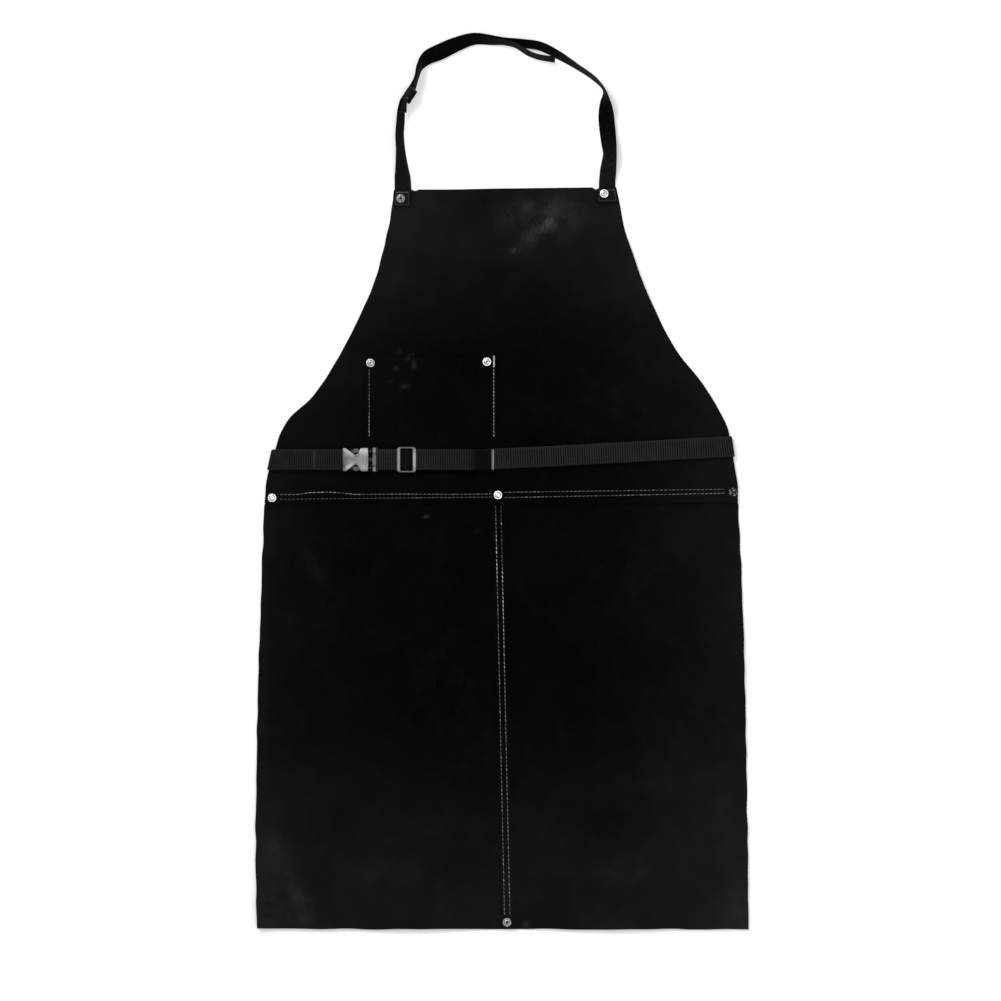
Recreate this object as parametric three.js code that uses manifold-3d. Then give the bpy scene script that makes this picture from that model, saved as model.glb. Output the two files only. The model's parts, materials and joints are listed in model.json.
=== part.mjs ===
// Welding apron of split leather, laid flat with its front face up.
// Millimetres. +X is the viewer's right, +Y runs from the hem to the neck strap, +Z is up from the front.
// Inside this file, x is measured from the apron's middle line and y from its hem.

import * as THREE from 'three';
import { mergeVertices } from 'three/addons/utils/BufferGeometryUtils.js';
import Module from 'manifold-3d';

const wasm = await Module();
wasm.setup();

// ---------------------------------------------------------------- driving dimensions

const LEATHER = 1.8; // thickness of the split cowhide
const WEBBING = 1.2; // thickness of the belt and the neck strap
const GAP = 0.3; // clearance between pieces that touch
const THREAD = { width: 0.8, height: 0.3 };

const WAIST = 520; // lower edge of the bib, where the skirt panels fold
const LAP = 22; // how far the skirts reach up behind the bib
const STEP_FROM = 600; // the bib rides over the skirts below this height
const STEP_TO = 625; // and lies on the ground above this one
const BIB_TOP = { left: [-132, 901], right: [138.5, 904] };

const BELT_WIDTH = 25;
const BELT_Y = 572.5;
const NECK_WIDTH = 20;

// Edges of the outline from the hem upwards, then round the armholes.
const LEFT_SKIRT_SIDE = [[-299, 1.5], [-300.5, 110], [-297.5, 300], [-290, WAIST]];
const RIGHT_SKIRT_SIDE = [[299.5, 0], [298.5, 130], [294, 350], [287, WAIST]];
const LEFT_BIB_SIDE = [
  [-290, WAIST], [-287, 548], [-279, 580], [-262, 619], [-226, 656],
  [-188, 719], [-157, 786], [-140, 850], BIB_TOP.left,
];
const RIGHT_BIB_SIDE = [
  [287, WAIST], [285.5, 548], [281, 574], [272, 616], [247, 660],
  [206, 715], [173, 784], [150, 850], BIB_TOP.right,
];

// Leather layers, counted from the ground: the height of each one's underside.
const layer = (n) => n * (LEATHER + GAP);

// Rivets: a domed cap with a post, and a base disc sunk into the lowest leather.
const RIVET = { capRadius: 5.2, capHeight: 2.2, postRadius: 1.5, baseRadius: 4.8, baseHeight: 0.8 };
const RIVET_HOLE = RIVET.postRadius + GAP;
const NECK_STACK = layer(1) + WEBBING + GAP + LEATHER + GAP;
const RIVETS = {
  neck_left: { at: [-124, 891], seat: NECK_STACK },
  neck_right: { at: [124, 897], seat: NECK_STACK },
  pocket_left: { at: [-161, 690.5], seat: layer(2) },
  pocket_right: { at: [-19, 692], seat: layer(2) },
  waist_left: { at: [-281, 526], seat: layer(2) },
  waist_centre: { at: [-5.5, 529.5], seat: layer(2) },
  waist_right: { at: [281, 533], seat: layer(2) },
  hem: { at: [5.5, 8.5], seat: layer(2) },
};

// Centre seam, where the right skirt laps over the left one. It leans a little.
const SEAM_TOP = [-5.2, WAIST - GAP];
const SEAM_LEAN = THREE.MathUtils.degToRad(1.25);
const SEAM_LAP = 6.8; // from the seam's middle to the edge of either panel
const SEAM_ROW = 3.25; // from the seam's middle to each stitched row
const SEWN_EDGE_JOIN = -12; // where the two skirts' sewn edges meet behind the bib

// Chest pocket: flat sewn edges round a front panel that stands off the bib at the mouth.
const POCKET = { left: -166.5, right: -8, bottom: 562, top: 698, standOff: 11 };
const POCKET_INSIDE = { left: -151, right: -29, bottom: 604, wall: 2 };

// Belt: webbing layers from the pocket upwards.
const SLIDER_BAR_Z = layer(3) + 2 * GAP;
const BELT_MAIN_Z = SLIDER_BAR_Z + WEBBING + GAP;
const BELT_TAIL_Z = BELT_MAIN_Z + WEBBING + GAP;
const SLIDER_TOP_Z = BELT_TAIL_Z + WEBBING + GAP;
const BELT_END_INSET = 44; // how far each end of the belt reaches behind the bib
const BELT_END_Z = GAP;
const BELT_TURN_LEFT = -280.3; // where the belt turns round the bib's edges
const BELT_TURN_RIGHT = 277.5;
const BELT_SLANT_LEFT = 0.22; // how far the bib's edges lean there, as mm sideways for each mm up
const BELT_SLANT_RIGHT = -0.09;
const BELT_LEAN = THREE.MathUtils.degToRad(3.02);
const BELT_SPLIT_X = -24; // the pull-through layer starts here, beyond the slider's whole range
const TAIL_END_X = -10.4;

// Side-release buckle: each half holds its bar half-way up its body, between its top and bottom plates.
const BAR = { width: 2.4, thickness: 2.4 };
const BAR_LOOP = BAR.thickness / 2 + GAP + WEBBING / 2;
const BUCKLE_Z = BELT_MAIN_Z + WEBBING / 2 + BAR_LOOP;
const BUCKLE_THICKNESS = 8.4;
const BUCKLE_WALL = 1.3;
const FEMALE = { left: -195, right: -162.6, half: 14.3, barLeft: -194.3 };
const MALE = { left: -158.4, wall: 1.5, right: -153.7, half: 14.8, barLeft: -153.9 };
const ARM_THICKNESS = 4.8;
const BUCKLE_INSIDE = BELT_WIDTH / 2 + 0.4;

const BELT_SLIDER = { centre: -116.9, length: 23.6, half: 15.6, endBar: 5, centreBar: 4, endThickness: 2 };

// Neck strap: it is doubled through a slider at the top of the short left tab.
const NECK_SLIDER_AT = [-115.5, 1016.5];
const NECK_SLIDER_DIRECTION = new THREE.Vector2(0.55, 0.835).normalize();
const NECK_SLIDER_ROLL = 74;
const NECK_SLIDER_LIFT = 3.2; // its side bars stand below the strap's edge
const NECK_BAR = { width: 3, thickness: 1.4 };
const NECK_LOOP = NECK_BAR.thickness / 2 + GAP + WEBBING / 2;
const NECK_LAYER_GAP = 0.4; // between the two layers once they lie together

// ---------------------------------------------------------------- materials

const finish = (color, roughness, metalness = 0) =>
  new THREE.MeshStandardMaterial({ color, roughness, metalness });

const leather = finish(0x17181a, 0.88);
const webbing = finish(0x202124, 0.8);
const thread = finish(0x8d8c88, 0.7);
const nickel = finish(0xc9c7c2, 0.3, 1);
const plastic = finish(0xa9abad, 0.25);

// ---------------------------------------------------------------- solids

/** A closed geometry as a manifold, with shared vertices merged and collapsed triangles dropped. */
function solid(geometry) {
  const bare = (geometry.index ? geometry.toNonIndexed() : geometry.clone());
  bare.deleteAttribute('normal');
  bare.deleteAttribute('uv');
  const merged = mergeVertices(bare, 1e-4);
  const kept = [];
  for (let i = 0; i < merged.index.count; i += 3) {
    const [a, b, c] = [merged.index.getX(i), merged.index.getX(i + 1), merged.index.getX(i + 2)];
    if (a !== b && b !== c && a !== c) kept.push(a, b, c);
  }
  return new wasm.Manifold(new wasm.Mesh({
    numProp: 3,
    vertProperties: new Float32Array(merged.attributes.position.array),
    triVerts: new Uint32Array(kept),
  }));
}

/** A manifold back as a geometry. */
function geometryOf(manifold) {
  const mesh = manifold.getMesh();
  const geometry = new THREE.BufferGeometry();
  geometry.setAttribute('position', new THREE.BufferAttribute(new Float32Array(mesh.vertProperties), 3));
  geometry.setIndex(Array.from(mesh.triVerts));
  geometry.computeVertexNormals();
  return geometry;
}

const shapeOf = (points) => new THREE.Shape(points.map(([x, y]) => new THREE.Vector2(x, y)));

/** An outline in plan, from height z0 to z1. */
function plate(points, z0, z1) {
  const geometry = new THREE.ExtrudeGeometry(shapeOf(points), { depth: z1 - z0, bevelEnabled: false });
  return geometry.translate(0, 0, z0);
}

/** A (y, z) section drawn along X. */
function alongX(points, x0, x1) {
  const geometry = new THREE.ExtrudeGeometry(shapeOf(points), { depth: x1 - x0, bevelEnabled: false });
  const turn = new THREE.Matrix4().makeBasis(
    new THREE.Vector3(0, 1, 0), new THREE.Vector3(0, 0, 1), new THREE.Vector3(1, 0, 0));
  return geometry.applyMatrix4(turn).translate(x0, 0, 0);
}

/** An (x, z) section drawn along Y. */
function alongY(points, y0, y1) {
  const geometry = new THREE.ExtrudeGeometry(shapeOf(points), { depth: y1 - y0, bevelEnabled: false });
  const turn = new THREE.Matrix4().makeBasis(
    new THREE.Vector3(1, 0, 0), new THREE.Vector3(0, 0, 1), new THREE.Vector3(0, -1, 0));
  return geometry.applyMatrix4(turn).translate(0, y1, 0);
}

function box([x0, x1], [y0, y1], [z0, z1]) {
  return new THREE.BoxGeometry(x1 - x0, y1 - y0, z1 - z0)
    .translate((x0 + x1) / 2, (y0 + y1) / 2, (z0 + z1) / 2);
}

function upright([x, y], radius, z0, z1) {
  return new THREE.CylinderGeometry(radius, radius, z1 - z0, 20)
    .rotateX(Math.PI / 2).translate(x, y, (z0 + z1) / 2);
}

const join = (...parts) => parts.reduce((sum, part) => sum.add(part));
const cut = (body, ...tools) => tools.reduce((rest, tool) => rest.subtract(tool), body);

/** A smooth line through a few points of the outline. */
const smooth = (points, divisions) =>
  new THREE.SplineCurve(points.map(([x, y]) => new THREE.Vector2(x, y)))
    .getPoints(divisions).map((p) => [p.x, p.y]);

/** The outline of a band of even thickness along a centre line. */
function band(line, thickness) {
  const half = thickness / 2;
  const points = line.map(([x, y]) => new THREE.Vector2(x, y));
  const offset = (side) => points.map((p, i) => {
    const before = points[Math.max(i - 1, 0)];
    const after = points[Math.min(i + 1, points.length - 1)];
    const a = i ? p.clone().sub(before).normalize() : after.clone().sub(p).normalize();
    const b = i < points.length - 1 ? after.clone().sub(p).normalize() : a;
    const mitre = new THREE.Vector2(-(a.y + b.y), a.x + b.x).normalize();
    const reach = half / Math.max(mitre.dot(new THREE.Vector2(-a.y, a.x)), 0.5);
    return [p.x + mitre.x * reach * side, p.y + mitre.y * reach * side];
  });
  return [...offset(-1), ...offset(1).reverse()];
}

/** Points on an arc, from one angle to another in degrees. */
function arc([x, y], radius, from, to, steps = 8) {
  return Array.from({ length: steps + 1 }, (_, i) => {
    const angle = THREE.MathUtils.degToRad(from + ((to - from) * i) / steps);
    return [x + radius * Math.cos(angle), y + radius * Math.sin(angle)];
  });
}

const apron = new THREE.Group();

function add(name, geometry, material) {
  const mesh = new THREE.Mesh(geometry, material);
  mesh.name = name;
  apron.add(mesh);
  return mesh;
}

// ---------------------------------------------------------------- rivet holes

const holeFor = ({ at }) => solid(upright(at, RIVET_HOLE, -1, 20));
const sinkFor = ({ at }) =>
  solid(upright(at, RIVET.baseRadius + GAP, -1, RIVET.baseHeight + GAP));

/** Holes for the named rivets, and for those in the lowest layer, the recess of the base disc. */
function riveted(body, names, lowest) {
  const tools = names.map((name) => holeFor(RIVETS[name]));
  if (lowest) tools.push(...names.map((name) => sinkFor(RIVETS[name])));
  return cut(body, ...tools);
}

// ---------------------------------------------------------------- leather panels

function bibPanel() {
  const outline = [
    ...smooth(LEFT_BIB_SIDE, 26), ...smooth(RIGHT_BIB_SIDE, 26).reverse(),
  ];
  const section = [
    [WAIST, layer(1)], [STEP_FROM, layer(1)], [STEP_TO, 0], [BIB_TOP.right[1] + 1, 0],
    [BIB_TOP.right[1] + 1, LEATHER], [STEP_TO, LEATHER], [STEP_FROM, layer(1) + LEATHER],
    [WAIST, layer(1) + LEATHER],
  ];
  const sheet = solid(alongX(section, -310, 310)).intersect(solid(plate(outline, -1, 10)));
  const throughLeather = riveted(sheet, ['waist_left', 'waist_centre', 'waist_right'], false);
  return riveted(throughLeather, ['neck_left', 'neck_right', 'pocket_left', 'pocket_right'], true);
}

/** The strip of a skirt panel that is sewn behind the bib. */
function sewnEdge(x0, x1, rivets) {
  const strip = solid(box([x0, x1], [WAIST, WAIST + LAP], [0, LEATHER]));
  return riveted(strip, rivets, true);
}

/** The left panel's top corner at the seam's middle line, and its foot at the hem. */
const seamAt = (y, offset = 0) => [
  SEAM_TOP[0] + (SEAM_TOP[1] - y) * Math.tan(SEAM_LEAN) + offset / Math.cos(SEAM_LEAN), y,
];

function skirtLeft() {
  const top = WAIST - GAP;
  const outline = [
    ...smooth(LEFT_SKIRT_SIDE, 10).slice(0, -1), [-290, top], seamAt(top, SEAM_LAP), seamAt(0, SEAM_LAP),
  ];
  return riveted(solid(plate(outline, 0, LEATHER)), ['hem'], true);
}

function skirtRight() {
  const top = WAIST - GAP;
  const raised = layer(1);
  const slope = 6;
  const section = [
    [-SEAM_LAP, raised], [SEAM_LAP + 1, raised], [SEAM_LAP + 1 + slope, 0], [330, 0],
    [330, LEATHER], [SEAM_LAP + 1 + slope, LEATHER], [SEAM_LAP + 1, raised + LEATHER],
    [-SEAM_LAP, raised + LEATHER],
  ];
  const sheet = alongY(section, -WAIST - 20, 20).rotateZ(SEAM_LEAN).translate(...SEAM_TOP, 0);
  const outline = [
    [-60, 0], ...smooth(RIGHT_SKIRT_SIDE, 10).slice(0, -1), [287, top], [-60, top],
  ];
  return riveted(solid(sheet).intersect(solid(plate(outline, -1, 10))), ['hem'], false);
}

function chestPocket() {
  const { left, right, bottom, top, standOff } = POCKET;
  const inside = POCKET_INSIDE;
  const on = layer(2);
  const low = layer(1);
  const flat = [
    [bottom, on], [STEP_FROM, on], [STEP_TO, low], [top, low],
    [top, low + LEATHER], [STEP_TO, low + LEATHER], [STEP_FROM, on + LEATHER], [bottom, on + LEATHER],
  ];
  const rise = [[inside.bottom - 4, on + LEATHER - 0.2], [STEP_TO, 7.6], [top, standOff]];
  const raised = [...rise, [top, low], [STEP_TO, low], [STEP_FROM, on]];
  const hollow = [
    [inside.bottom + 6, 3], [STEP_TO, 7.6 - LEATHER], [top + 1, standOff - LEATHER],
    [top + 1, 0], [inside.bottom + 6, 0],
  ];
  const body = join(
    solid(alongX(flat, left, right)),
    solid(alongX(raised, inside.left - inside.wall, inside.right + inside.wall)),
  );
  const open = cut(body, solid(alongX(hollow, inside.left, inside.right)));
  return riveted(open, ['pocket_left', 'pocket_right'], false);
}

/** A leather patch over the end of the neck strap. */
function cornerPatch(points, rivet) {
  const z = layer(1) + WEBBING + GAP;
  return riveted(solid(plate(points, z, z + LEATHER)), [rivet], false);
}

function neckEnd(centre, y0, rivet) {
  const strip = box([centre - NECK_WIDTH / 2, centre + NECK_WIDTH / 2], [y0, 906], [layer(1), layer(1) + WEBBING]);
  return riveted(solid(strip), [rivet], false);
}

const PATCH_LEFT = [[-133.2, 881.5], [-112.8, 881.5], [-112.4, 900.6], [-131.4, 900.3]];
const PATCH_RIGHT = [[115.8, 886], [140.2, 886.4], [137.9, 903.2], [116, 902.8]];
const NECK_LEFT_X = -121.5;
const NECK_RIGHT_X = 127.6;

add('bib_panel', geometryOf(bibPanel()), leather);
add('skirt_left_sewn_edge', geometryOf(sewnEdge(-287.5, SEWN_EDGE_JOIN - GAP, ['waist_left'])), leather);
add('skirt_right_sewn_edge', geometryOf(sewnEdge(SEWN_EDGE_JOIN, 286, ['waist_centre', 'waist_right'])), leather);
add('skirt_left', geometryOf(skirtLeft()), leather);
add('skirt_right', geometryOf(skirtRight()), leather);
add('chest_pocket', geometryOf(chestPocket()), leather);
add('corner_patch_left', geometryOf(cornerPatch(PATCH_LEFT, 'neck_left')), leather);
add('corner_patch_right', geometryOf(cornerPatch(PATCH_RIGHT, 'neck_right')), leather);
add('neck_strap_end_left', geometryOf(neckEnd(NECK_LEFT_X, 884, 'neck_left')), webbing);
add('neck_strap_end_right', geometryOf(neckEnd(NECK_RIGHT_X, 888, 'neck_right')), webbing);

// ---------------------------------------------------------------- rivets

const RIVET_SIDES = 16;

function rivetCap({ at: [x, y], seat }) {
  const { capRadius: r, capHeight: h, postRadius: post } = RIVET;
  const foot = RIVET.baseHeight + GAP - seat;
  const profile = [
    [0, foot], [post, foot], [post, 0], [r, 0], [r, 0.28 * h], [0.84 * r, 0.72 * h],
    [0.5 * r, h], [0.24 * r, h], [0.16 * r, 0.74 * h], [0, 0.74 * h],
  ].map(([a, b]) => new THREE.Vector2(a, b));
  return new THREE.LatheGeometry(profile, RIVET_SIDES).rotateX(Math.PI / 2).translate(x, y, seat);
}

function rivetBase({ at: [x, y] }) {
  const { baseRadius: r, baseHeight: h } = RIVET;
  const profile = [[0, 0], [0.9 * r, 0], [r, 0.5 * h], [r, h], [0, h]]
    .map(([a, b]) => new THREE.Vector2(a, b));
  return new THREE.LatheGeometry(profile, RIVET_SIDES).rotateX(Math.PI / 2).translate(x, y, 0);
}

for (const [name, rivet] of Object.entries(RIVETS)) {
  add(`rivet_cap_${name}`, rivetCap(rivet), nickel);
  add(`rivet_base_${name}`, rivetBase(rivet), nickel);
}

// ---------------------------------------------------------------- stitched rows

/** A row of stitching as one low strip from a to b. */
function row(a, b, z) {
  const [from, to] = [new THREE.Vector2(...a), new THREE.Vector2(...b)];
  const run = to.clone().sub(from);
  return new THREE.BoxGeometry(run.length(), THREAD.width, THREAD.height)
    .rotateZ(run.angle())
    .translate((from.x + to.x) / 2, (from.y + to.y) / 2, z + THREAD.height / 2);
}

const ROWS = {
  waist_thread_lower_left: [[-272, 524.2], [-12.5, 527], layer(2)],
  waist_thread_upper_left: [[-272, 530.6], [-12.5, 530.8], layer(2)],
  waist_thread_lower_right: [[1.5, 526.3], [272, 531.6], layer(2)],
  waist_thread_upper_right: [[1.5, 532.7], [272, 536.5], layer(2)],
  centre_thread_left: [seamAt(WAIST - 3, -SEAM_ROW), seamAt(17, -SEAM_ROW), layer(2)],
  centre_thread_right: [seamAt(WAIST - 3, SEAM_ROW), seamAt(17, SEAM_ROW), layer(2)],
  pocket_thread_left: [[-162.6, 630], [-162.6, 684], layer(2)],
  pocket_thread_right: [[-11, 630], [-11, 695], layer(2)],
  pocket_thread_bottom: [[-158, 566], [-14, 566], layer(3)],
  patch_thread_left: [[-129.5, 898.4], [-114.5, 898.6], NECK_STACK],
  patch_thread_right: [[119, 888.8], [136.5, 889], NECK_STACK],
  belt_end_thread_left: [[-256, 565], [-256, 580], layer(2)],
  belt_end_thread_right: [[252, 580], [252, 595], layer(2)],
};
for (const [name, [a, b, z]] of Object.entries(ROWS)) add(name, row(a, b, z), thread);

// ---------------------------------------------------------------- belt

const midOf = (z) => z + WEBBING / 2;

/** Belt webbing: a band in side view, as wide as the belt. */
const beltBand = (line, width = BELT_WIDTH) => alongY(band(line, WEBBING), -width / 2, width / 2);

/** The turn from the belt's main layer round the apron's edge to its end behind the bib. */
function edgeTurn(x, side) {
  const low = midOf(BELT_END_Z);
  const high = midOf(BELT_MAIN_Z);
  const turn = arc([0, (low + high) / 2], (high - low) / 2, 90, 270)
    .map(([a, z]) => [x - side * a * 0.9, z]);
  return [...turn, [x - side * BELT_END_INSET, low]];
}

/** Slants the end of a belt beyond x, so that its turn follows the leather's edge. */
function slantBeyond(geometry, x, slope) {
  const at = geometry.attributes.position;
  for (let i = 0; i < at.count; i += 1) {
    if (Math.sign(x) * (at.getX(i) - x) > 0) at.setX(i, at.getX(i) + slope * at.getY(i));
  }
  return geometry;
}

function beltStrapLeft() {
  const barCentre = FEMALE.barLeft + BAR.width;
  const top = BUCKLE_Z + BAR_LOOP;
  const line = [
    ...edgeTurn(BELT_TURN_LEFT, -1).reverse(), [-242, midOf(BELT_MAIN_Z)], [-232, midOf(BELT_TAIL_Z) + GAP],
    [-212, midOf(BELT_TAIL_Z) + 1.2], [barCentre - 2, top],
    ...arc([barCentre, BUCKLE_Z], BAR_LOOP, 90, -90), [-226, midOf(BELT_MAIN_Z)],
  ];
  return slantBeyond(beltBand(line), BELT_TURN_LEFT + 8, BELT_SLANT_LEFT).translate(0, BELT_Y, 0);
}

function beltStrapRight() {
  const reach = (BELT_TURN_RIGHT - BELT_SPLIT_X) / Math.cos(BELT_LEAN);
  const start = GAP + (BELT_WIDTH / 2) * Math.sin(BELT_LEAN);
  const line = [[start, midOf(BELT_MAIN_Z)], ...edgeTurn(reach, 1)];
  return slantBeyond(beltBand(line), reach - 8, BELT_SLANT_RIGHT)
    .rotateZ(BELT_LEAN).translate(BELT_SPLIT_X, BELT_Y, 0);
}

/** The webbing that turns round the male bar: pull-through layer below, free tail above. */
function beltPullThrough() {
  const top = BUCKLE_Z + BAR_LOOP;
  const line = [
    [BELT_SPLIT_X, midOf(BELT_MAIN_Z)],
    ...arc([MALE.barLeft, BUCKLE_Z], BAR_LOOP, 270, 90),
    [MALE.barLeft + 4, top], [-132.5, midOf(BELT_TAIL_Z)], [TAIL_END_X, midOf(BELT_TAIL_Z)],
  ];
  return beltBand(line).translate(0, BELT_Y, 0);
}

const buckleBox = (xs, half, thickness) =>
  solid(box(xs, [-half, half], [BUCKLE_Z - thickness / 2, BUCKLE_Z + thickness / 2]));

const buckleHollow = (xs) => buckleBox(xs, BUCKLE_INSIDE, BUCKLE_THICKNESS - 2 * BUCKLE_WALL);

function buckleFemale() {
  const { left, right, half, barLeft } = FEMALE;
  const edge = [
    [left, half - 1.2], [left + 1.2, half], [-190.5, half], [-183, 9.2], [-178.6, 6.6], [-177, 7],
    [-175.6, 10], [-174.4, 12.8], [-171.6, half], [right - 1.8, half], [right, half - 1.8],
  ];
  const outline = [...edge, ...edge.map(([x, y]) => [x, -y]).reverse()];
  const z0 = BUCKLE_Z - BUCKLE_THICKNESS / 2;
  const body = solid(plate(outline, z0, z0 + BUCKLE_THICKNESS));
  const bar = buckleBox([barLeft, barLeft + BAR.width], half - 0.4, BAR.thickness);
  return join(cut(body, buckleHollow([left - 1, right + 1])), bar).translate([0, BELT_Y, 0]);
}

function buckleMale() {
  const { left, wall, right, half, barLeft } = MALE;
  const barRight = barLeft + BAR.width;
  const grip = cut(buckleBox([left, right], half, BUCKLE_THICKNESS), buckleHollow([left + wall, right + 1]));
  const tongue = buckleBox([-187, left + 0.5], 2.4, ARM_THICKNESS);
  const bar = buckleBox([barLeft, barRight], half - 0.4, BAR.thickness);
  const rails = [1, -1].map((side) => {
    const ys = [BUCKLE_INSIDE * side, (half - 0.4) * side].sort((a, b) => a - b);
    return solid(box([right - 0.5, barRight], ys, [BUCKLE_Z - 1.8, BUCKLE_Z + 1.8]));
  });
  return join(grip, tongue, bar, ...rails).translate([0, BELT_Y, 0]);
}

/** A sprung latch arm, whose head stands behind the edge of the female's side window. */
function releaseArm(side) {
  const root = MALE.left - GAP;
  const plan = [
    [root, 8.4], [root, 11.6], [-166, 11.9], [-172, 11.4], [-174.9, 11.6], [-174.9, 13.3],
    [-177, 13.9], [-181, 13.4], [-186, 10.6], [-188.4, 8.6], [-186.5, 7.6], [-180, 8.2], [-168, 8.8],
  ].map(([x, y]) => [x, y * side]);
  const z0 = BUCKLE_Z - ARM_THICKNESS / 2;
  return plate(side > 0 ? plan.reverse() : plan, z0, z0 + ARM_THICKNESS).translate(0, BELT_Y, 0);
}

/** A three-bar slider: the belt runs under its end bars and over its centre bar. */
function beltSlider() {
  const { centre, length, half, endBar, centreBar, endThickness } = BELT_SLIDER;
  const [x0, x1] = [centre - length / 2, centre + length / 2];
  const top = SLIDER_TOP_Z + endThickness;
  const r = 3.4;
  const outline = [
    ...arc([x1 - r, half - r], r, 0, 90, 4), ...arc([x0 + r, half - r], r, 90, 180, 4),
    ...arc([x0 + r, -half + r], r, 180, 270, 4), ...arc([x1 - r, -half + r], r, 270, 360, 4),
  ];
  const block = solid(plate(outline, SLIDER_BAR_Z, top));
  const inside = half - 2.1;
  const slots = solid(box([x0 + endBar, x1 - endBar], [-inside, inside], [SLIDER_BAR_Z - 1, top + 1]));
  const under = solid(box([x0 - 1, x1 + 1], [-inside, inside], [SLIDER_BAR_Z - 1, SLIDER_TOP_Z]));
  const bar = solid(box([centre - centreBar / 2, centre + centreBar / 2], [-inside - 1, inside + 1],
    [SLIDER_BAR_Z, SLIDER_BAR_Z + WEBBING]));
  return join(cut(block, slots, under), bar).translate([0, BELT_Y, 0]);
}

add('belt_strap_left', beltStrapLeft(), webbing);
add('belt_strap_right', beltStrapRight(), webbing);
add('belt_pull_through', beltPullThrough(), webbing);
add('buckle_female', geometryOf(buckleFemale()), plastic);
add('buckle_male', geometryOf(buckleMale()), plastic);
add('release_arm_upper', releaseArm(1), plastic);
add('release_arm_lower', releaseArm(-1), plastic);
add('belt_slider', geometryOf(beltSlider()), plastic);
const BARTACK_Z = BELT_TAIL_Z + WEBBING + 2 * GAP + 0.4;
add('belt_loop_bartack',
  box([-229.5, -228.5], [BELT_Y - 10, BELT_Y + 10], [BARTACK_Z, BARTACK_Z + THREAD.height]), thread);

// ---------------------------------------------------------------- neck strap

/** The height of the strap's middle when it rests on the ground, rolled by so many degrees. */
function restingHeight(roll) {
  const angle = THREE.MathUtils.degToRad(roll);
  return (NECK_WIDTH / 2) * Math.sin(angle) + (WEBBING / 2) * Math.cos(angle) + GAP;
}

/** Places along a route of [x, y, roll, lift]: each has a point, the strap's width direction and its normal. */
function stations(route, steps) {
  const curve = new THREE.CatmullRomCurve3(
    route.map(([x, y, roll, lift = 0]) => new THREE.Vector3(x, y, restingHeight(roll) + lift)), false, 'centripetal');
  const rolls = new THREE.SplineCurve(route.map(([, , roll], i) => new THREE.Vector2(i, roll)));
  return Array.from({ length: steps + 1 }, (_, i) => {
    const t = i / steps;
    const along = curve.getTangent(t);
    const roll = THREE.MathUtils.degToRad(rolls.getPoint(t).y);
    const across = new THREE.Vector3(-along.y, along.x, 0).normalize();
    const side = across.multiplyScalar(Math.cos(roll)).add(new THREE.Vector3(0, 0, Math.sin(roll)));
    side.addScaledVector(along, -side.dot(along)).normalize();
    return { point: curve.getPoint(t), side, normal: along.clone().cross(side).normalize() };
  });
}

const shifted = (places, offsetAt) => places.map(({ point, side, normal }, i) => (
  { point: point.clone().addScaledVector(normal, offsetAt(i)), side, normal }
));

/** A ribbon through the places: a box whose cross-sections are moved to them. */
function ribbon(places, width, thickness) {
  const steps = places.length - 1;
  const geometry = new THREE.BoxGeometry(width, thickness, steps, 1, 1, steps);
  const position = geometry.attributes.position;
  for (let i = 0; i < position.count; i += 1) {
    const { point, side, normal } = places[Math.round(position.getZ(i) + steps / 2)];
    const moved = point.clone()
      .addScaledVector(side, position.getX(i)).addScaledVector(normal, position.getY(i));
    position.setXYZ(i, moved.x, moved.y, moved.z);
  }
  return geometry;
}

/** A route point on the slider's straight stretch. */
const slider = (distance) => [
  NECK_SLIDER_AT[0] + NECK_SLIDER_DIRECTION.x * distance,
  NECK_SLIDER_AT[1] + NECK_SLIDER_DIRECTION.y * distance,
  NECK_SLIDER_ROLL, NECK_SLIDER_LIFT,
];

const TAB_ROUTE = [
  [NECK_LEFT_X, 906.6, 0, 1.8], [-121.6, 912, 8, 1.9], [-122.2, 926, 34, 1.4], [-123.4, 948, 58, 1],
  [-124.6, 968, 64, 1], [-123.6, 984, 69, 1.6], [-122.4, 997, 72, 2.6], slider(-9.2), slider(-5.2),
];
const STRAP_ROUTE = [
  slider(0.5), slider(6), slider(12), [-104.6, 1038, 80, 2], [-100.8, 1051, 70, 1.2], [-92, 1062, 42, 1.2],
  [-76, 1069.8, 22, 1], [-56.7, 1078.5, 36, 1], [-34.8, 1085.2, 52, 1], [-12.8, 1083.6, 62, 0.8],
  [1.8, 1082.1, 70, 0.8], [23.8, 1079, 62, 0.9], [45.8, 1076, 63, 0.9], [67.7, 1065.7, 71, 0.9],
  [89.7, 1051, 78, 0.9], [111.6, 1035.8, 78, 0.9], [123.4, 1022, 82, 0.9], [125.4, 1006, 46, 0.9],
  [126.6, 987, 14, 0.9], [128.8, 965, 18, 0.9], [130.4, 945, 34, 0.9], [128.8, 926, 12, 1.5], [127.7, 912, 1, 1.9],
  [NECK_RIGHT_X, 906.6, 0, 1.8],
];
const STRAP_STEPS = 84;
const TAIL_LEAVES = 10; // the route point where the tail parts from the strap
const TAIL_ROUTE = [[31, 1068, 76], [38.4, 1064.8, 78], [46, 1062.6, 78], [53.4, 1061.4, 78], [60.6, 1059.8, 78]];

/** Distance between the doubled layers: wide at the slider's bar, then lying together. */
const layerDistance = (i) =>
  THREE.MathUtils.lerp(2 * NECK_LOOP, WEBBING + NECK_LAYER_GAP, THREE.MathUtils.smoothstep(i, 3, 11));

/** The slider's own frame: x along the strap, y across it, z along its normal. */
function sliderFrame() {
  const [place] = stations([slider(-1), slider(0), slider(1)], 2).slice(1);
  const along = place.side.clone().cross(place.normal);
  return new THREE.Matrix4().makeBasis(along, place.side, place.normal).setPosition(place.point);
}

const inSlider = (manifold) => geometryOf(manifold).applyMatrix4(sliderFrame());

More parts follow.
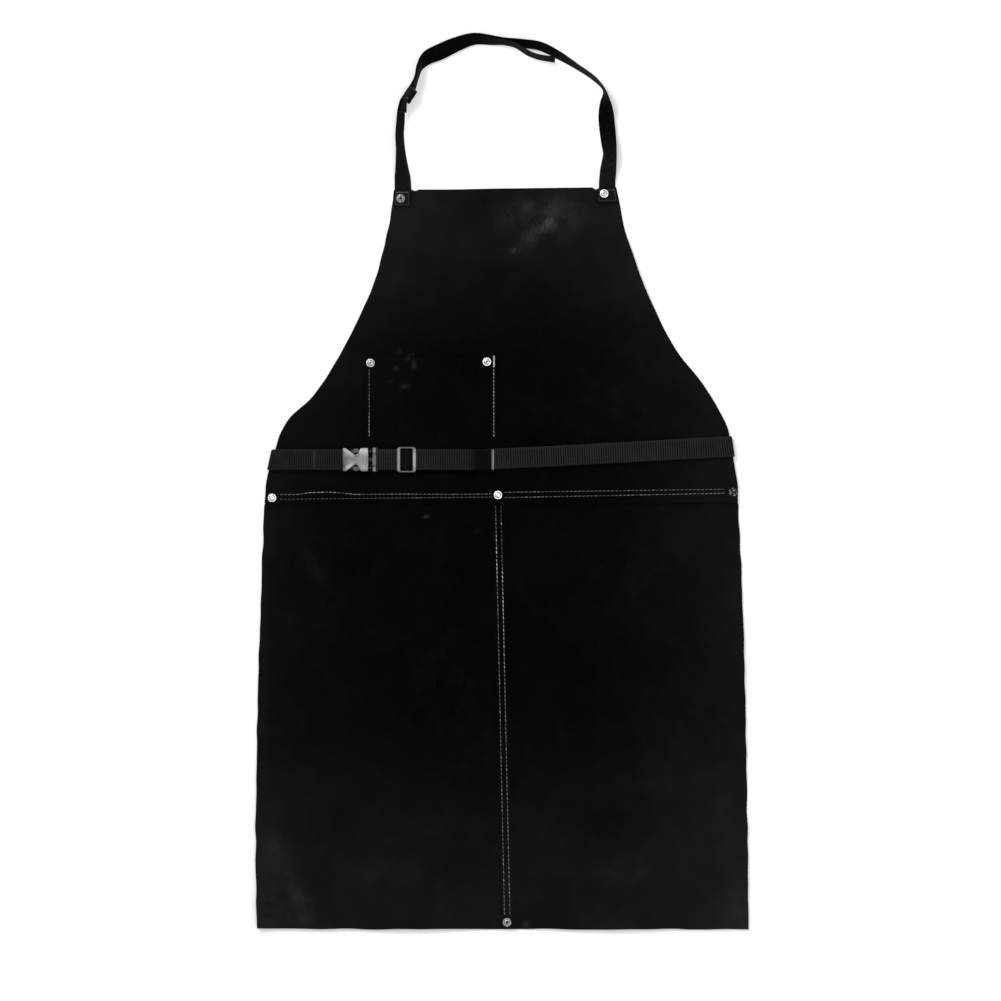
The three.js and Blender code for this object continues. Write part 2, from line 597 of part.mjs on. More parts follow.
/** Webbing turned round a bar of the slider: open towards +x or -x. */
function barTurn(x, opensTo) {
  const turn = arc([x, 0], NECK_LOOP, opensTo > 0 ? 270 : -90, 90);
  const line = [[x + 2 * opensTo, -NECK_LOOP], ...turn, [x + 2 * opensTo, NECK_LOOP]];
  return solid(inSlider(solid(alongY(band(line, WEBBING), -NECK_WIDTH / 2, NECK_WIDTH / 2))));
}

const LOWER_BAR = -5.2; // the side of the lower bar that the tab turns round
const CENTRE_BAR = -0.5; // the side of the centre bar that the strap turns round

function neckTab() {
  const places = stations(TAB_ROUTE, 30);
  const last = places.length - 1;
  const outer = ribbon(shifted(places, (i) => -layerDistance(last - i) / 2), NECK_WIDTH, WEBBING);
  const returned = places.slice(-9);
  const inner = ribbon(shifted(returned, (i) => layerDistance(returned.length - 1 - i) / 2), NECK_WIDTH, WEBBING);
  return join(solid(outer), solid(inner), barTurn(LOWER_BAR, -1));
}

function neckStrap() {
  const places = stations(STRAP_ROUTE, STRAP_STEPS);
  const strap = ribbon(shifted(places, (i) => -layerDistance(i) / 2), NECK_WIDTH, WEBBING);
  const together = Math.round((TAIL_LEAVES / (STRAP_ROUTE.length - 1)) * STRAP_STEPS);
  const laid = shifted(places.slice(0, together), (i) => layerDistance(i) / 2);
  const leaving = laid[laid.length - 1].point;
  const free = stations([[leaving.x, leaving.y, 72], [16, 1077.6, 74], ...TAIL_ROUTE], 14).slice(1);
  const tail = ribbon([...laid, ...free], NECK_WIDTH, WEBBING);
  return join(solid(strap), solid(tail), barTurn(CENTRE_BAR, 1));
}

function neckSlider() {
  const railInside = NECK_WIDTH / 2 + GAP;
  const railOutside = railInside + 2.2;
  const half = NECK_BAR.thickness / 2;
  const over = NECK_LOOP + WEBBING / 2 + GAP;
  const bar = (x0, width, z0, z1) => solid(box([x0, x0 + width], [-railOutside, railOutside], [z0, z1]));
  const rails = [1, -1].map((side) => {
    const ys = [railInside * side, railOutside * side].sort((a, b) => a - b);
    return solid(box([LOWER_BAR - 2.5, 10.5], ys, [-half, over + 1.6]));
  });
  return join(
    bar(LOWER_BAR - 2.5, 2.5, -half, half), bar(CENTRE_BAR, NECK_BAR.width, -half, half),
    bar(8, 2.5, over, over + 1.6), ...rails);
}

add('neck_tab', geometryOf(neckTab()), webbing);
add('neck_strap', geometryOf(neckStrap()), webbing);
add('neck_slider', inSlider(neckSlider()), plastic);

// The part's origin is under the middle of the laid apron, on the ground.
const bounds = new THREE.Box3().setFromObject(apron);
const middle = bounds.getCenter(new THREE.Vector3());
apron.position.set(-middle.x, -middle.y, -bounds.min.z);
const part = new THREE.Group();
part.add(apron);

export default part;
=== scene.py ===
"""The laid welding apron: split leather, webbing, stitching, rivets and a side-release buckle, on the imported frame.

Shapes are written in millimetres, with x measured from the apron's middle line and y from its hem, as in the CAD
source, and moved into the row frame when a mesh is made.
"""

import json
import math

import bpy
import numpy as np
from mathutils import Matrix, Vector

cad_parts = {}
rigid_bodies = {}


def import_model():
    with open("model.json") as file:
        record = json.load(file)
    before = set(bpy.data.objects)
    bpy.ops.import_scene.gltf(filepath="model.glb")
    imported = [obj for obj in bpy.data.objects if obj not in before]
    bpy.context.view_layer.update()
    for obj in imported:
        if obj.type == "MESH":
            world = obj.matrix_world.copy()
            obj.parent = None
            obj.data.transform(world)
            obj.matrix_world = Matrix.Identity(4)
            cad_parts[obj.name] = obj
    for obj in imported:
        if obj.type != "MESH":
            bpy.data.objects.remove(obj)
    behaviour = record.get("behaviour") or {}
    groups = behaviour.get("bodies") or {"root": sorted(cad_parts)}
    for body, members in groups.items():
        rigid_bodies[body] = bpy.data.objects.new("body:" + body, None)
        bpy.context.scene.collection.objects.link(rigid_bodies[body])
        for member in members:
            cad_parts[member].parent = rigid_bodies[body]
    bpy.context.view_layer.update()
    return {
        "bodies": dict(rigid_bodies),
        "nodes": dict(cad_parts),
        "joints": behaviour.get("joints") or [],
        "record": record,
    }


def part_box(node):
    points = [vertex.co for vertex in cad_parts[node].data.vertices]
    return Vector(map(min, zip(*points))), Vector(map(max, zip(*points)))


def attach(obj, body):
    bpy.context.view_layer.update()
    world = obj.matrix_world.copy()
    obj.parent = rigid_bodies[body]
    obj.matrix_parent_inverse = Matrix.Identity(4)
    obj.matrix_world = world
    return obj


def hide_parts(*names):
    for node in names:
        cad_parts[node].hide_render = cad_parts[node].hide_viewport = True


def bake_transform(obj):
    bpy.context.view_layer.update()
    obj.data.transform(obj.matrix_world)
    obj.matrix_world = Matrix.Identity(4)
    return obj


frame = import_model()

# ---- the CAD's own numbers

LEATHER = 1.75
STEP = 2.1  # from one leather layer to the next
FIRST = 0.15  # the lowest leather's height above the ground
WAIST = 520.0
SKIRT_TOP = 542.0
WAIST_ROW = 528  # the middle of the waist's stitching
BIB_LEFT, BIB_RIGHT = 901, 904  # the bib's upper corners
BELT_Y = 572.5
BELT_WIDTH, NECK_WIDTH, WEBBING = 25, 20, 1.2
MAIN_Z, TAIL_Z, END_Z = 9.0, 10.5, 0.9  # the belt's layers, to their middle
BELT_LEAN, LEAN_X = math.radians(3.02), -24  # the right half of the belt leans from there on
FEMALE_BAR, MALE_BAR, SLIDER_X = -191.9, -153.9, -116.9
BUCKLE_Z = 11.1
BAR_LOOP, NECK_LOOP = 2.1, 1.6  # from a bar's middle to the middle of the webbing round it
STRAP_X = {"left": -121.5, "right": 127.6}  # the sewn ends of the neck strap
SEAM_TOP = (-5.2, 519.7)
SEAM_LEAN = math.radians(1.25)
SEAM_LAP = 6.8

LEFT_SIDE = [(-299, 1.5), (-300.5, 110), (-297.5, 300), (-290, 520)]
RIGHT_SIDE = [(299.5, 0), (298.5, 130), (294, 350), (287, 520)]
LEFT_BIB = [(-290, 520), (-287, 548), (-279, 580), (-262, 619), (-226, 656), (-188, 719), (-157, 786), (-140, 850),
    (-132, 901)]
RIGHT_BIB = [(287, 520), (285.5, 548), (281, 574), (272, 616), (247, 660), (206, 715), (173, 784), (150, 850),
    (138.5, 904)]

RIVETS = {  # where each one is, and the height its cap sits at
    "neck_left": (-124, 891, 5.7), "neck_right": (124, 897, 5.7),
    "pocket_left": (-161, 690.5, 4.2), "pocket_right": (-19, 692, 4.2),
    "waist_left": (-281, 526, 4.2), "waist_centre": (-5.5, 529.5, 4.2), "waist_right": (281, 533, 4.2),
    "hem": (5.5, 8.5, 4.2),
}

# From the CAD source's frame to the row's.
SHIFT = np.mean(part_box("rivet_base_neck_left"), axis=0) - [-0.124, 0.891, 0]
SHIFT[2] = 0


def metres(points):
    return np.asarray(points, float) / 1000 + SHIFT


# ---- curves and smooth noise

def unit(v):
    return v / np.linalg.norm(v, axis=-1)[..., None]


def distances(line):
    """How far along a line each of its points is."""
    return np.concatenate([[0], np.cumsum(np.linalg.norm(np.diff(line, axis=0), axis=1))])


def spline(points, t, centripetal=False):
    """Catmull-Rom through the points, at t from 0 to 1, evenly by point."""
    p = np.asarray(points, float)
    n = len(p) - 1
    at = np.clip(np.asarray(t, float), 0, 1) * n
    i = np.minimum(at.astype(int), n - 1)
    w = (at - i)[:, None]
    p1, p2 = p[i], p[i + 1]
    if centripetal:
        p0 = np.where((i > 0)[:, None], p[np.maximum(i - 1, 0)], 2 * p1 - p2)
        p3 = np.where((i < n - 1)[:, None], p[np.minimum(i + 2, n)], 2 * p2 - p1)
        d0, d1, d2 = (np.sqrt(np.linalg.norm(b - a, axis=1))[:, None] for a, b in ((p0, p1), (p1, p2), (p2, p3)))
        m1 = ((p1 - p0) / d0 - (p2 - p0) / (d0 + d1) + (p2 - p1) / d1) * d1
        m2 = ((p2 - p1) / d1 - (p3 - p1) / (d1 + d2) + (p3 - p2) / d2) * d1
    else:
        m1 = (p2 - p[np.maximum(i - 1, 0)]) / 2
        m2 = (p[np.minimum(i + 2, n)] - p1) / 2
    return ((2 * w**3 - 3 * w**2 + 1) * p1 + (w**3 - 2 * w**2 + w) * m1 + (3 * w**2 - 2 * w**3) * p2
        + (w**3 - w**2) * m2)


def edge_line(points):
    """x of a side of the outline, as a function of y."""
    dense = spline(points, np.linspace(0, 1, 400))
    return lambda y: np.interp(y, dense[:, 1], dense[:, 0])


def ease(x, a, b):
    """0 up to a, 1 from b on, and smooth between them; b may be the lower one."""
    t = np.clip((np.asarray(x, float) - a) / (b - a), 0, 1)
    return t * t * (3 - 2 * t)


def bell(x, reach, power=2):
    return np.exp(-(x / reach) ** power)


def ripple(x, y, scale, seed):
    """Smooth noise from about -1 to 1, whose bumps are about half of scale wide."""
    rng = np.random.default_rng(seed)
    total = 0
    for _ in range(7):
        turn, size, phase = rng.uniform(0, 2 * math.pi), rng.uniform(0.6, 1.5), rng.uniform(0, 2 * math.pi)
        total = total + np.sin(2 * math.pi * size / scale * (x * math.cos(turn) + y * math.sin(turn)) + phase)
    return total / 3.4


def seam_x(y, offset=0.0):
    return SEAM_TOP[0] + (SEAM_TOP[1] - y) * math.tan(SEAM_LEAN) + offset / math.cos(SEAM_LEAN)


left_of = {"skirt": edge_line(LEFT_SIDE), "bib": edge_line(LEFT_BIB)}
right_of = {"skirt": edge_line(RIGHT_SIDE), "bib": edge_line(RIGHT_BIB)}


def width_at(y):
    low = np.asarray(y) < WAIST
    return (np.where(low, left_of["skirt"](y), left_of["bib"](y)),
        np.where(low, right_of["skirt"](y), right_of["bib"](y)))


def lift(x, y):
    """How far the laid leather stands off the ground, in soft folds that die out at every fixed point."""
    x, y = np.broadcast_arrays(np.asarray(x, float), np.asarray(y, float))
    left, right = width_at(y)
    fold = 2.6 * (0.5 + 0.5 * ripple(x, 0.3 * y, 210, 3)) + 1.0 * (0.5 + 0.5 * ripple(x, 0.7 * y, 90, 8))
    hem = ease(y, 90, 0)
    fold = fold * (0.55 + 0.6 * ease(y, 420, 60)) + 1.4 * hem * (0.5 + 0.5 * ripple(x, y, 120, 21))
    border = np.minimum(x - left, right - x)
    curl = 3.0 * np.exp(-np.maximum(border, 0) / 16) * ease(ripple(x * 0.2, y, 190, 5), -0.2, 0.9)
    held = ease(abs(y - BELT_Y), 24, 80) * ease(abs(y - WAIST_ROW), 14, 80) * ease(y, 880, 800)
    for rx, ry, _ in RIVETS.values():
        held = held * ease(np.hypot(x - rx, y - ry), 14, 60)
    return (fold + curl) * held


# ---- meshes

def make(name, points, faces, material, body=None, uv=None, slot=None, replaces=(), **layers):
    """A mesh object from points in millimetres. Each of layers is one number a point, for the materials."""
    mesh = bpy.data.meshes.new(name)
    mesh.from_pydata(metres(points).tolist(), [], [f.tolist() if hasattr(f, "tolist") else f for f in faces])
    if uv is not None:
        loops = np.zeros(len(mesh.loops), int)
        mesh.loops.foreach_get("vertex_index", loops)
        mesh.uv_layers.new(name="UVMap").data.foreach_set("uv", np.asarray(uv, np.float32)[loops].ravel())
    for key, values in layers.items():
        mesh.attributes.new(key, "FLOAT", "POINT").data.foreach_set("value", np.asarray(values, np.float32))
    mesh.polygons.foreach_set("use_smooth", [True] * len(mesh.polygons))
    mesh.materials.append(material)
    mesh.validate()
    mesh.update()
    piece = bpy.data.objects.new(name, mesh)
    bpy.context.scene.collection.objects.link(piece)
    if replaces:
        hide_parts(*replaces)
    if body:
        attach(piece, body)
    return piece


def grid_faces(rows, columns, start=0, closed=False):
    i, j = np.meshgrid(np.arange(rows - 1), np.arange(columns if closed else columns - 1), indexing="ij")
    a, b = i * columns + j, i * columns + (j + 1) % columns
    return start + np.stack([a, b, b + columns, a + columns], -1).reshape(-1, 4)


def leather_sheet(name, x, y, low, thickness, worn=True, **kw):
    """A closed sheet over a grid of places, with a rounded raw edge. Row 0 is the lowest, and x grows along a row."""
    m, n = x.shape
    top = np.stack([x, y, low + thickness], -1).reshape(-1, 3)
    under = np.stack([x, y, low + 0 * x], -1).reshape(-1, 3)
    index = np.arange(m * n).reshape(m, n)
    loop = np.concatenate([index[0, :-1], index[:-1, -1], index[-1, :0:-1], index[:0:-1, 0]])
    ring = top[loop, :2]
    along = np.roll(ring, -1, 0) - np.roll(ring, 1, 0)
    out = np.stack([along[:, 1], -along[:, 0]], -1) / np.maximum(np.linalg.norm(along, axis=1), 1e-9)[:, None]
    z0, z1 = under[loop, 2], top[loop, 2]
    rims = [np.column_stack([ring + out * reach, z0 + (z1 - z0) * share]) for reach,
        share in ((0.22, 0.93), (0.42, 0.72), (0.45, 0.45), (0.36, 0.2), (0.16, 0.05))]
    k = len(loop)
    faces = [grid_faces(m, n), grid_faces(m, n, m * n)[:, ::-1]]
    chain = [loop] + [2 * m * n + k * i + np.arange(k) for i in range(len(rims))] + [loop + m * n]
    for upper, lower in zip(chain, chain[1:]):
        faces.append(np.stack([lower, np.roll(lower, -1), np.roll(upper, -1), upper], -1))
    points = np.concatenate([top, under, *rims])
    border = np.zeros((m, n))
    border[[0, -1]] = border[:, [0, -1]] = 0.55
    rim = np.zeros(k * len(rims))
    return make(name, points, np.concatenate(faces), HIDE, uv=points[:, :2] / 1000, slot="leather",
        raw_edge=np.concatenate([border.ravel(), border.ravel(), rim + 1]),
        scuff=np.concatenate([(scuffed(x, y) if worn else 0 * x).ravel(), 0 * x.ravel(), rim]),
        faded=np.concatenate([faded(x, y).ravel(), np.full(m * n, 0.3), rim]), **kw)


def spaced(*stretches):
    """Grid lines: each stretch is (from, to, spacing)."""
    lines = [np.linspace(a, b, max(2, int(round(abs(b - a) / step)) + 1)) for a, b, step in stretches]
    return np.unique(np.concatenate(lines).round(5))


def ribbon(name, path, across, width, material, rib, wave=0.0, seed=0, soot=None, melt_reach=1.8, warp=None, **kw):
    """Woven webbing along a path, cut and melted at both ends. across is its width direction at each point."""
    path, across = np.asarray(path, float), np.asarray(across, float)
    reach = distances(path)
    s = np.linspace(0, reach[-1], int(reach[-1] / 0.5) + 1)
    p, side = (np.stack([np.interp(s, reach, v[:, i]) for i in range(3)], -1) for v in (path, across))
    for _ in range(2):  # rounds the corners of the path
        pad = np.concatenate([2 * p[:1] - p[2:0:-1], p, 2 * p[-1:] - p[-2:-4:-1]])
        p = np.stack([np.convolve(pad[:, i], np.ones(5) / 5, "valid") for i in range(3)], -1)
    along = unit(np.gradient(p, axis=0))
    side = unit(side - (side * along).sum(1)[:, None] * along)
    normal = np.cross(along, side)
    a = np.concatenate([np.linspace(-1, 1, 15)[:-1], np.linspace(1, -1, 15)[:-1]])
    face = np.repeat([1.0, -1.0], 14)
    face[[0, 14]] = 0
    edge = np.abs(a) ** 10
    melt = np.maximum(*(ease(distance, melt_reach, 0.17 * melt_reach) for distance in (s, s[-1] - s)))
    lap = 0.5 + 0.5 * np.cos(2 * math.pi * s / rib)
    column = 0.5 + 0.5 * np.cos(a * width / 2 * 2 * math.pi / 3.2)
    relief = 0.16 * lap[:, None] * (0.55 + 0.45 * column[None]) * (1 - edge)[None] * (1 - melt)[:, None]
    depth = (WEBBING / 2 - 0.12) * (1 - 0.25 * edge)[None] + relief
    drift = wave * ripple(s, 0 * s, 160, seed)
    flare = 1 + 0.005 * ripple(s, 0 * s + 9, 7, seed + 1)
    v = (a[None] * width / 2 * flare[:, None]) + drift[:, None]
    points = p[:, None] + side[:, None] * v[..., None] + normal[:, None] * (face[None] * depth)[..., None]
    n, count = len(a), len(s) * len(a)
    points = np.concatenate([points.reshape(-1, 3), [points[0].mean(0), points[-1].mean(0)]])
    if warp is not None:
        points = warp(points)
    faces = [*grid_faces(len(s), n, closed=True)]
    faces += [[count, (j + 1) % n, j] for j in range(n)]
    faces += [[count + 1, count - n + j, count - n + (j + 1) % n] for j in range(n)]
    uv = np.concatenate([np.stack([np.repeat(s, n), np.tile(a * width / 2, len(s))], -1),
        [[0, 0], [s[-1], 0]]]) / 1000
    return make(name, points, faces, material, uv=uv, melt=np.concatenate([np.repeat(melt, n), [1, 1]]),
        border=np.concatenate([np.tile(edge, len(s)), [0, 0]]), soot=soot(*points.T), **kw)


def thread_row(name, line, height, pitch, size, under=False, seed=1, tone_and_glint=0.5, **kw):
    """A row of lockstitches along a line in plan. height gives the surface they lie on; under puts them below it.
    The last named argument gives how light the thread is, from 0 to 1, or pairs of (share of the row, how light): the
    thread's own tone, with painted glints where the stitches catch the light."""
    rng = np.random.default_rng(seed)
    line = np.asarray(line, float)
    reach = distances(line)
    total = reach[-1]
    centres = np.arange(pitch * 0.5, total - pitch * 0.2, pitch)

    def place(far):
        return np.stack([np.interp(far, reach, line[:, i]) for i in (0, 1)])

    x, y = place(centres)[..., None, None]
    dx, dy = place(centres + 1) - place(centres - 1)
    turn = (np.arctan2(dy, dx) + math.radians(5) + rng.normal(0, 0.05, len(x)))[:, None, None]
    half = (pitch * 0.46 * (1 + rng.normal(0, 0.05, len(x))))[:, None, None]
    t = np.linspace(-1, 1, 9)
    ring = np.linspace(0, 2 * math.pi, 8, endpoint=False)
    radius = size * np.sqrt(np.clip(1.02 - np.abs(t) ** 3.2, 0, 1))
    rise = size * (0.62 * (1 - t**2) - 0.55 * t**4)
    u = t[:, None] + 0 * ring[None]
    w = radius[:, None] * np.cos(ring)[None]
    h = rise[:, None] + 0.85 * radius[:, None] * np.sin(ring)[None]
    px = x + np.cos(turn) * u * half - np.sin(turn) * w
    py = y + np.sin(turn) * u * half + np.cos(turn) * w
    pz = height(px, py) + (-h if under else h)
    points = np.stack([px, py, pz], -1).reshape(-1, 3)
    one = [*grid_faces(9, 8, closed=True).tolist(), list(range(8)), list(range(71, 63, -1))]
    if not under:
        one = [face[::-1] for face in one]
    faces = [[corner + 72 * i for corner in face] for i in range(len(x)) for face in one]
    uv = np.stack(np.broadcast_arrays((u * half) / 1000, (ring / (2 * math.pi))[None, None]), -1).reshape(-1, 2)
    knots = np.asarray(tone_and_glint if hasattr(tone_and_glint, "__len__") else [(0, tone_and_glint)], float)
    rng.uniform(size=len(x))  # unused, but the shades are the draws after it
    # Each stitch is lighter or darker at random: partly the thread's tone, partly painted glints where single
    # stitches catch the light.
    stitch_tone_and_glint = rng.choice([0.25, 0.6, 0.9, 1.25], len(x), p=[0.2, 0.25, 0.3, 0.25])
    shade = np.repeat(np.interp(centres / total, knots[:, 0], knots[:, 1]) * stitch_tone_and_glint, 72)
    return make(name, points, faces, THREAD, uv=uv, shade=shade, slot="thread", **kw)


# ---- moulded solids from distance functions

def polygon(outline, rounds=2):
    """Signed distance in plan to a closed outline whose corners are cut smooth, negative inside."""
    a = np.asarray(outline, float)
    for _ in range(rounds):
        b = np.roll(a, -1, 0)
        a = np.stack([0.75 * a + 0.25 * b, 0.25 * a + 0.75 * b], 1).reshape(-1, 2)
    b = np.roll(a, -1, 0)

    def distance(x, y):
        x, y = np.broadcast_arrays(x, y)
        p = np.stack([x, y], -1)[..., None, :]
        run = b - a
        t = np.clip(((p - a) * run).sum(-1) / np.maximum((run * run).sum(-1), 1e-12), 0, 1)
        far = np.linalg.norm(p - a - t[..., None] * run, axis=-1).min(-1)
        crosses = (a[:, 1] > p[..., 1]) != (b[:, 1] > p[..., 1])
        level = np.where(b[:, 1] == a[:, 1], 1e-9, b[:, 1] - a[:, 1])
        at = a[:, 0] + (p[..., 1] - a[:, 1]) / level * (b[:, 0] - a[:, 0])
        inside = (crosses & (p[..., 0] < at)).sum(-1) % 2 == 1
        return np.where(inside, -far, far)

    return distance


def rounded(u, v):
    """The distance to a corner, from the distances past its two sides."""
    return np.minimum(np.maximum(u, v), 0) + np.hypot(np.maximum(u, 0), np.maximum(v, 0))


def rectangle(x0, x1, y0, y1, corner=0.0):
    def distance(x, y):
        return rounded(np.abs(x - (x0 + x1) / 2) - (x1 - x0) / 2 + corner,
            np.abs(y - (y0 + y1) / 2) - (y1 - y0) / 2 + corner) - corner
    return distance


def slab(plan, z, z0, z1, fillet):
    """A plate between two heights with rounded edges, from its distance in plan."""
    return rounded(plan + fillet, np.abs(z - (z0 + z1) / 2) - (z1 - z0) / 2 + fillet) - fillet


def block(x, y, z, xs, ys, zs, corner, fillet):
    return slab(rectangle(*xs, *ys, corner)(x, y), z, *zs, fillet)


def merge(a, b, k=0.5):
    h = np.clip(0.5 + 0.5 * (b - a) / k, 0, 1)
    return b * (1 - h) + a * h - k * h * (1 - h)


def carve(a, b, k=0.3):
    return -merge(-a, b, k)


def moulded(sdf, low, high, step):
    """Surface nets: the points and faces of a closed surface where sdf(x, y, z) is zero."""
    axes = [np.arange(a - 1.5 * step, b + 2.5 * step, step) for a, b in zip(low, high)]
    f = np.broadcast_to(sdf(*np.ix_(*axes)), tuple(map(len, axes))).astype(float)
    inside = f < 0
    shape = tuple(n - 1 for n in f.shape)

    def corner(values, o):
        return values[tuple(slice(i, n + i) for i, n in zip(o, shape))]

    offsets = [(i, j, k) for i in (0, 1) for j in (0, 1) for k in (0, 1)]
    some = sum(corner(inside, o).astype(int) for o in offsets)
    active = (some > 0) & (some < 8)
    total, count = np.zeros(shape + (3,)), np.zeros(shape)
    for o in offsets:
        for axis in range(3):
            if o[axis]:
                continue
            fa, fb = corner(f, o), corner(f, tuple(v + (i == axis) for i, v in enumerate(o)))
            crosses = (fa < 0) != (fb < 0)
            t = np.where(crosses, fa / np.where(fa == fb, 1, fa - fb), 0)
            for i in range(3):
                total[..., i] += np.where(crosses, o[i] + (t if i == axis else 0), 0)
            count += crosses
    cells = np.argwhere(active)
    local = total[active] / count[active][:, None]
    points = np.stack([axes[i][0] + (cells[:, i] + local[:, i]) * step for i in range(3)], -1)
    index = -np.ones(shape, int)
    index[active] = np.arange(len(cells))
    faces = []
    for axis in range(3):
        b, c = (axis + 1) % 3, (axis + 2) % 3
        crosses = inside != np.roll(inside, -1, axis)
        for i, ends in ((axis, [-1]), (b, [0, -1]), (c, [0, -1])):
            np.moveaxis(crosses, i, 0)[ends] = False
        at = np.argwhere(crosses)
        one = np.eye(3, dtype=int)
        quad = np.stack([index[tuple((at - db * one[b] - dc * one[c]).T)] for db,
            dc in ((1, 1), (0, 1), (0, 0), (1, 0))], -1)
        outward = inside[tuple(at.T)]
        quad[~outward] = quad[~outward][:, ::-1]
        faces.append(quad)
    return points, np.concatenate(faces)


def lathe(profile):
    """Points and faces of a profile of (radius, height) turned about the upright axis, closed at both ends."""
    profile = np.asarray(profile, float)
    angle = np.linspace(0, 2 * math.pi, 40, endpoint=False)
    points = [profile[:, :1] * np.cos(angle), profile[:, :1] * np.sin(angle), profile[:, 1:] + 0 * angle]
    return np.stack(points, -1).reshape(-1, 3), grid_faces(len(profile), 40, closed=True)


# ---- materials

def grey(value):
    return (value, value, value)


def brighter(colour, by):
    return tuple(min(1.0, by * c) for c in colour)


class Graph:
    """A short way to write a node tree."""

    def __init__(self, name):
        self.material = bpy.data.materials.new(name)
        self.material.use_nodes = True
        self.tree = self.material.node_tree
        self.tree.nodes.clear()
        self.shader = self.node("BsdfPrincipled")
        out = self.node("OutputMaterial")
        self.tree.links.new(self.shader.outputs[0], out.inputs[0])

    def node(self, kind, inputs=None, **settings):
        node = self.tree.nodes.new("ShaderNode" + kind)
        for key, value in settings.items():
            setattr(node, key, value)
        for key, value in (inputs or {}).items():
            self.put(node.inputs[key], value)
        return node

    def put(self, socket, value):
        if isinstance(value, bpy.types.NodeSocket):
            self.tree.links.new(value, socket)
        elif isinstance(value, tuple) and len(value) == 3 and socket.type == "RGBA":
            socket.default_value = (*value, 1)
        else:
            socket.default_value = value

    def place(self, scale=(1, 1, 1), turn=0.0):
        at = self.node("TexCoord").outputs["Object"]
        return self.node("Mapping", {"Vector": at, "Scale": scale, "Rotation": (0, 0, turn)}).outputs[0]

    def uv(self):
        return self.node("SeparateXYZ", {0: self.node("TexCoord").outputs["UV"]}).outputs[:2]

    def noise(self, at, scale, detail=3.0, rough=0.55, distortion=0.0):
        return self.node("TexNoise", {"Vector": at, "Scale": scale, "Detail": detail, "Roughness": rough,
            "Distortion": distortion}).outputs["Fac"]

    def cells(self, at, scale):
        return self.node("TexVoronoi", {"Vector": at, "Scale": scale}).outputs["Distance"]

    def math(self, operation, a, b=0.0):
        return self.node("Math", {0: a, 1: b, 2: 0.0}, operation=operation).outputs[0]

    def add(self, a, b):
        return self.math("ADD", a, b)

    def times(self, a, b):
        return self.math("MULTIPLY", a, b)

    def sine(self, a):
        return self.math("SINE", a)

    def ramp(self, value, low, high, to_low=0.0, to_high=1.0):
        return self.node("MapRange", {"Value": value, "From Min": low, "From Max": high, "To Min": to_low,
            "To Max": to_high}).outputs[0]

    def mix(self, share, a, b):
        node = self.node("Mix", data_type="RGBA")
        self.put(node.inputs[0], share)
        self.put(node.inputs[6], a)
        self.put(node.inputs[7], b)
        return node.outputs[2]

    def layer(self, name):
        return self.node("Attribute", attribute_name=name).outputs["Fac"]

    def bump(self, height, strength, distance, over=None):
        inputs = {"Height": height, "Strength": strength, "Distance": distance}
        if over is not None:
            inputs["Normal"] = over
        return self.node("Bump", inputs).outputs[0]

    def finish(self, **sockets):
        for key, value in sockets.items():
            self.put(self.shader.inputs[key.replace("_", " ")], value)
        return self.material


def split_leather():
    g = Graph("split_leather")
    at = g.place()
    brushed = g.place((1, 0.35, 1), 0.5)
    cloud = g.noise(at, 7, 4, 0.6, 0.6)
    patch = g.noise(at, 34, 5, 0.62, 0.4)
    nap = g.noise(brushed, 420, 4, 0.7)
    fibre = g.noise(g.place((1, 0.22, 1), -0.4), 1500, 2, 0.6)
    pits = g.cells(at, 900)
    tone = g.mix(g.ramp(cloud, 0.35, 0.7), grey(0.0001), grey(0.0008))
    tone = g.mix(g.times(g.ramp(patch, 0.5, 0.75), 0.4), tone, grey(0.0022))
    tone = g.mix(g.times(g.ramp(nap, 0.52, 0.8), 0.5), tone, (0.0042, 0.0042, 0.0041))
    faded = g.times(g.layer("faded"), g.ramp(patch, 0.2, 0.7, 0.72, 1.08))
    tone = g.mix(faded, tone, (0.0125, 0.0123, 0.0121))
    worn = g.times(g.layer("scuff"), g.ramp(g.times(patch, g.ramp(nap, 0.3, 0.7, 0.6, 1.0)), 0.22, 0.55))
    tone = g.mix(worn, tone, (0.085, 0.084, 0.085))
    raw = g.times(g.layer("raw_edge"), g.ramp(fibre, 0.35, 0.7, 0.25, 0.8))
    tone = g.mix(raw, tone, (0.0035, 0.0034, 0.0034))
    height = g.add(g.times(nap, 0.7), g.times(fibre, 0.4))
    height = g.add(height, g.times(pits, 0.35))
    broad = g.bump(g.add(patch, g.times(cloud, 0.8)), 0.5, 0.0018)
    normal = g.bump(height, 0.85, 0.0005, broad)
    return g.finish(Base_Color=tone, Roughness=g.ramp(nap, 0.3, 0.8, 0.78, 0.97), Normal=normal,
        Specular_IOR_Level=0.02, Sheen_Weight=0.03, Sheen_Roughness=0.22, Sheen_Tint=grey(0.8))


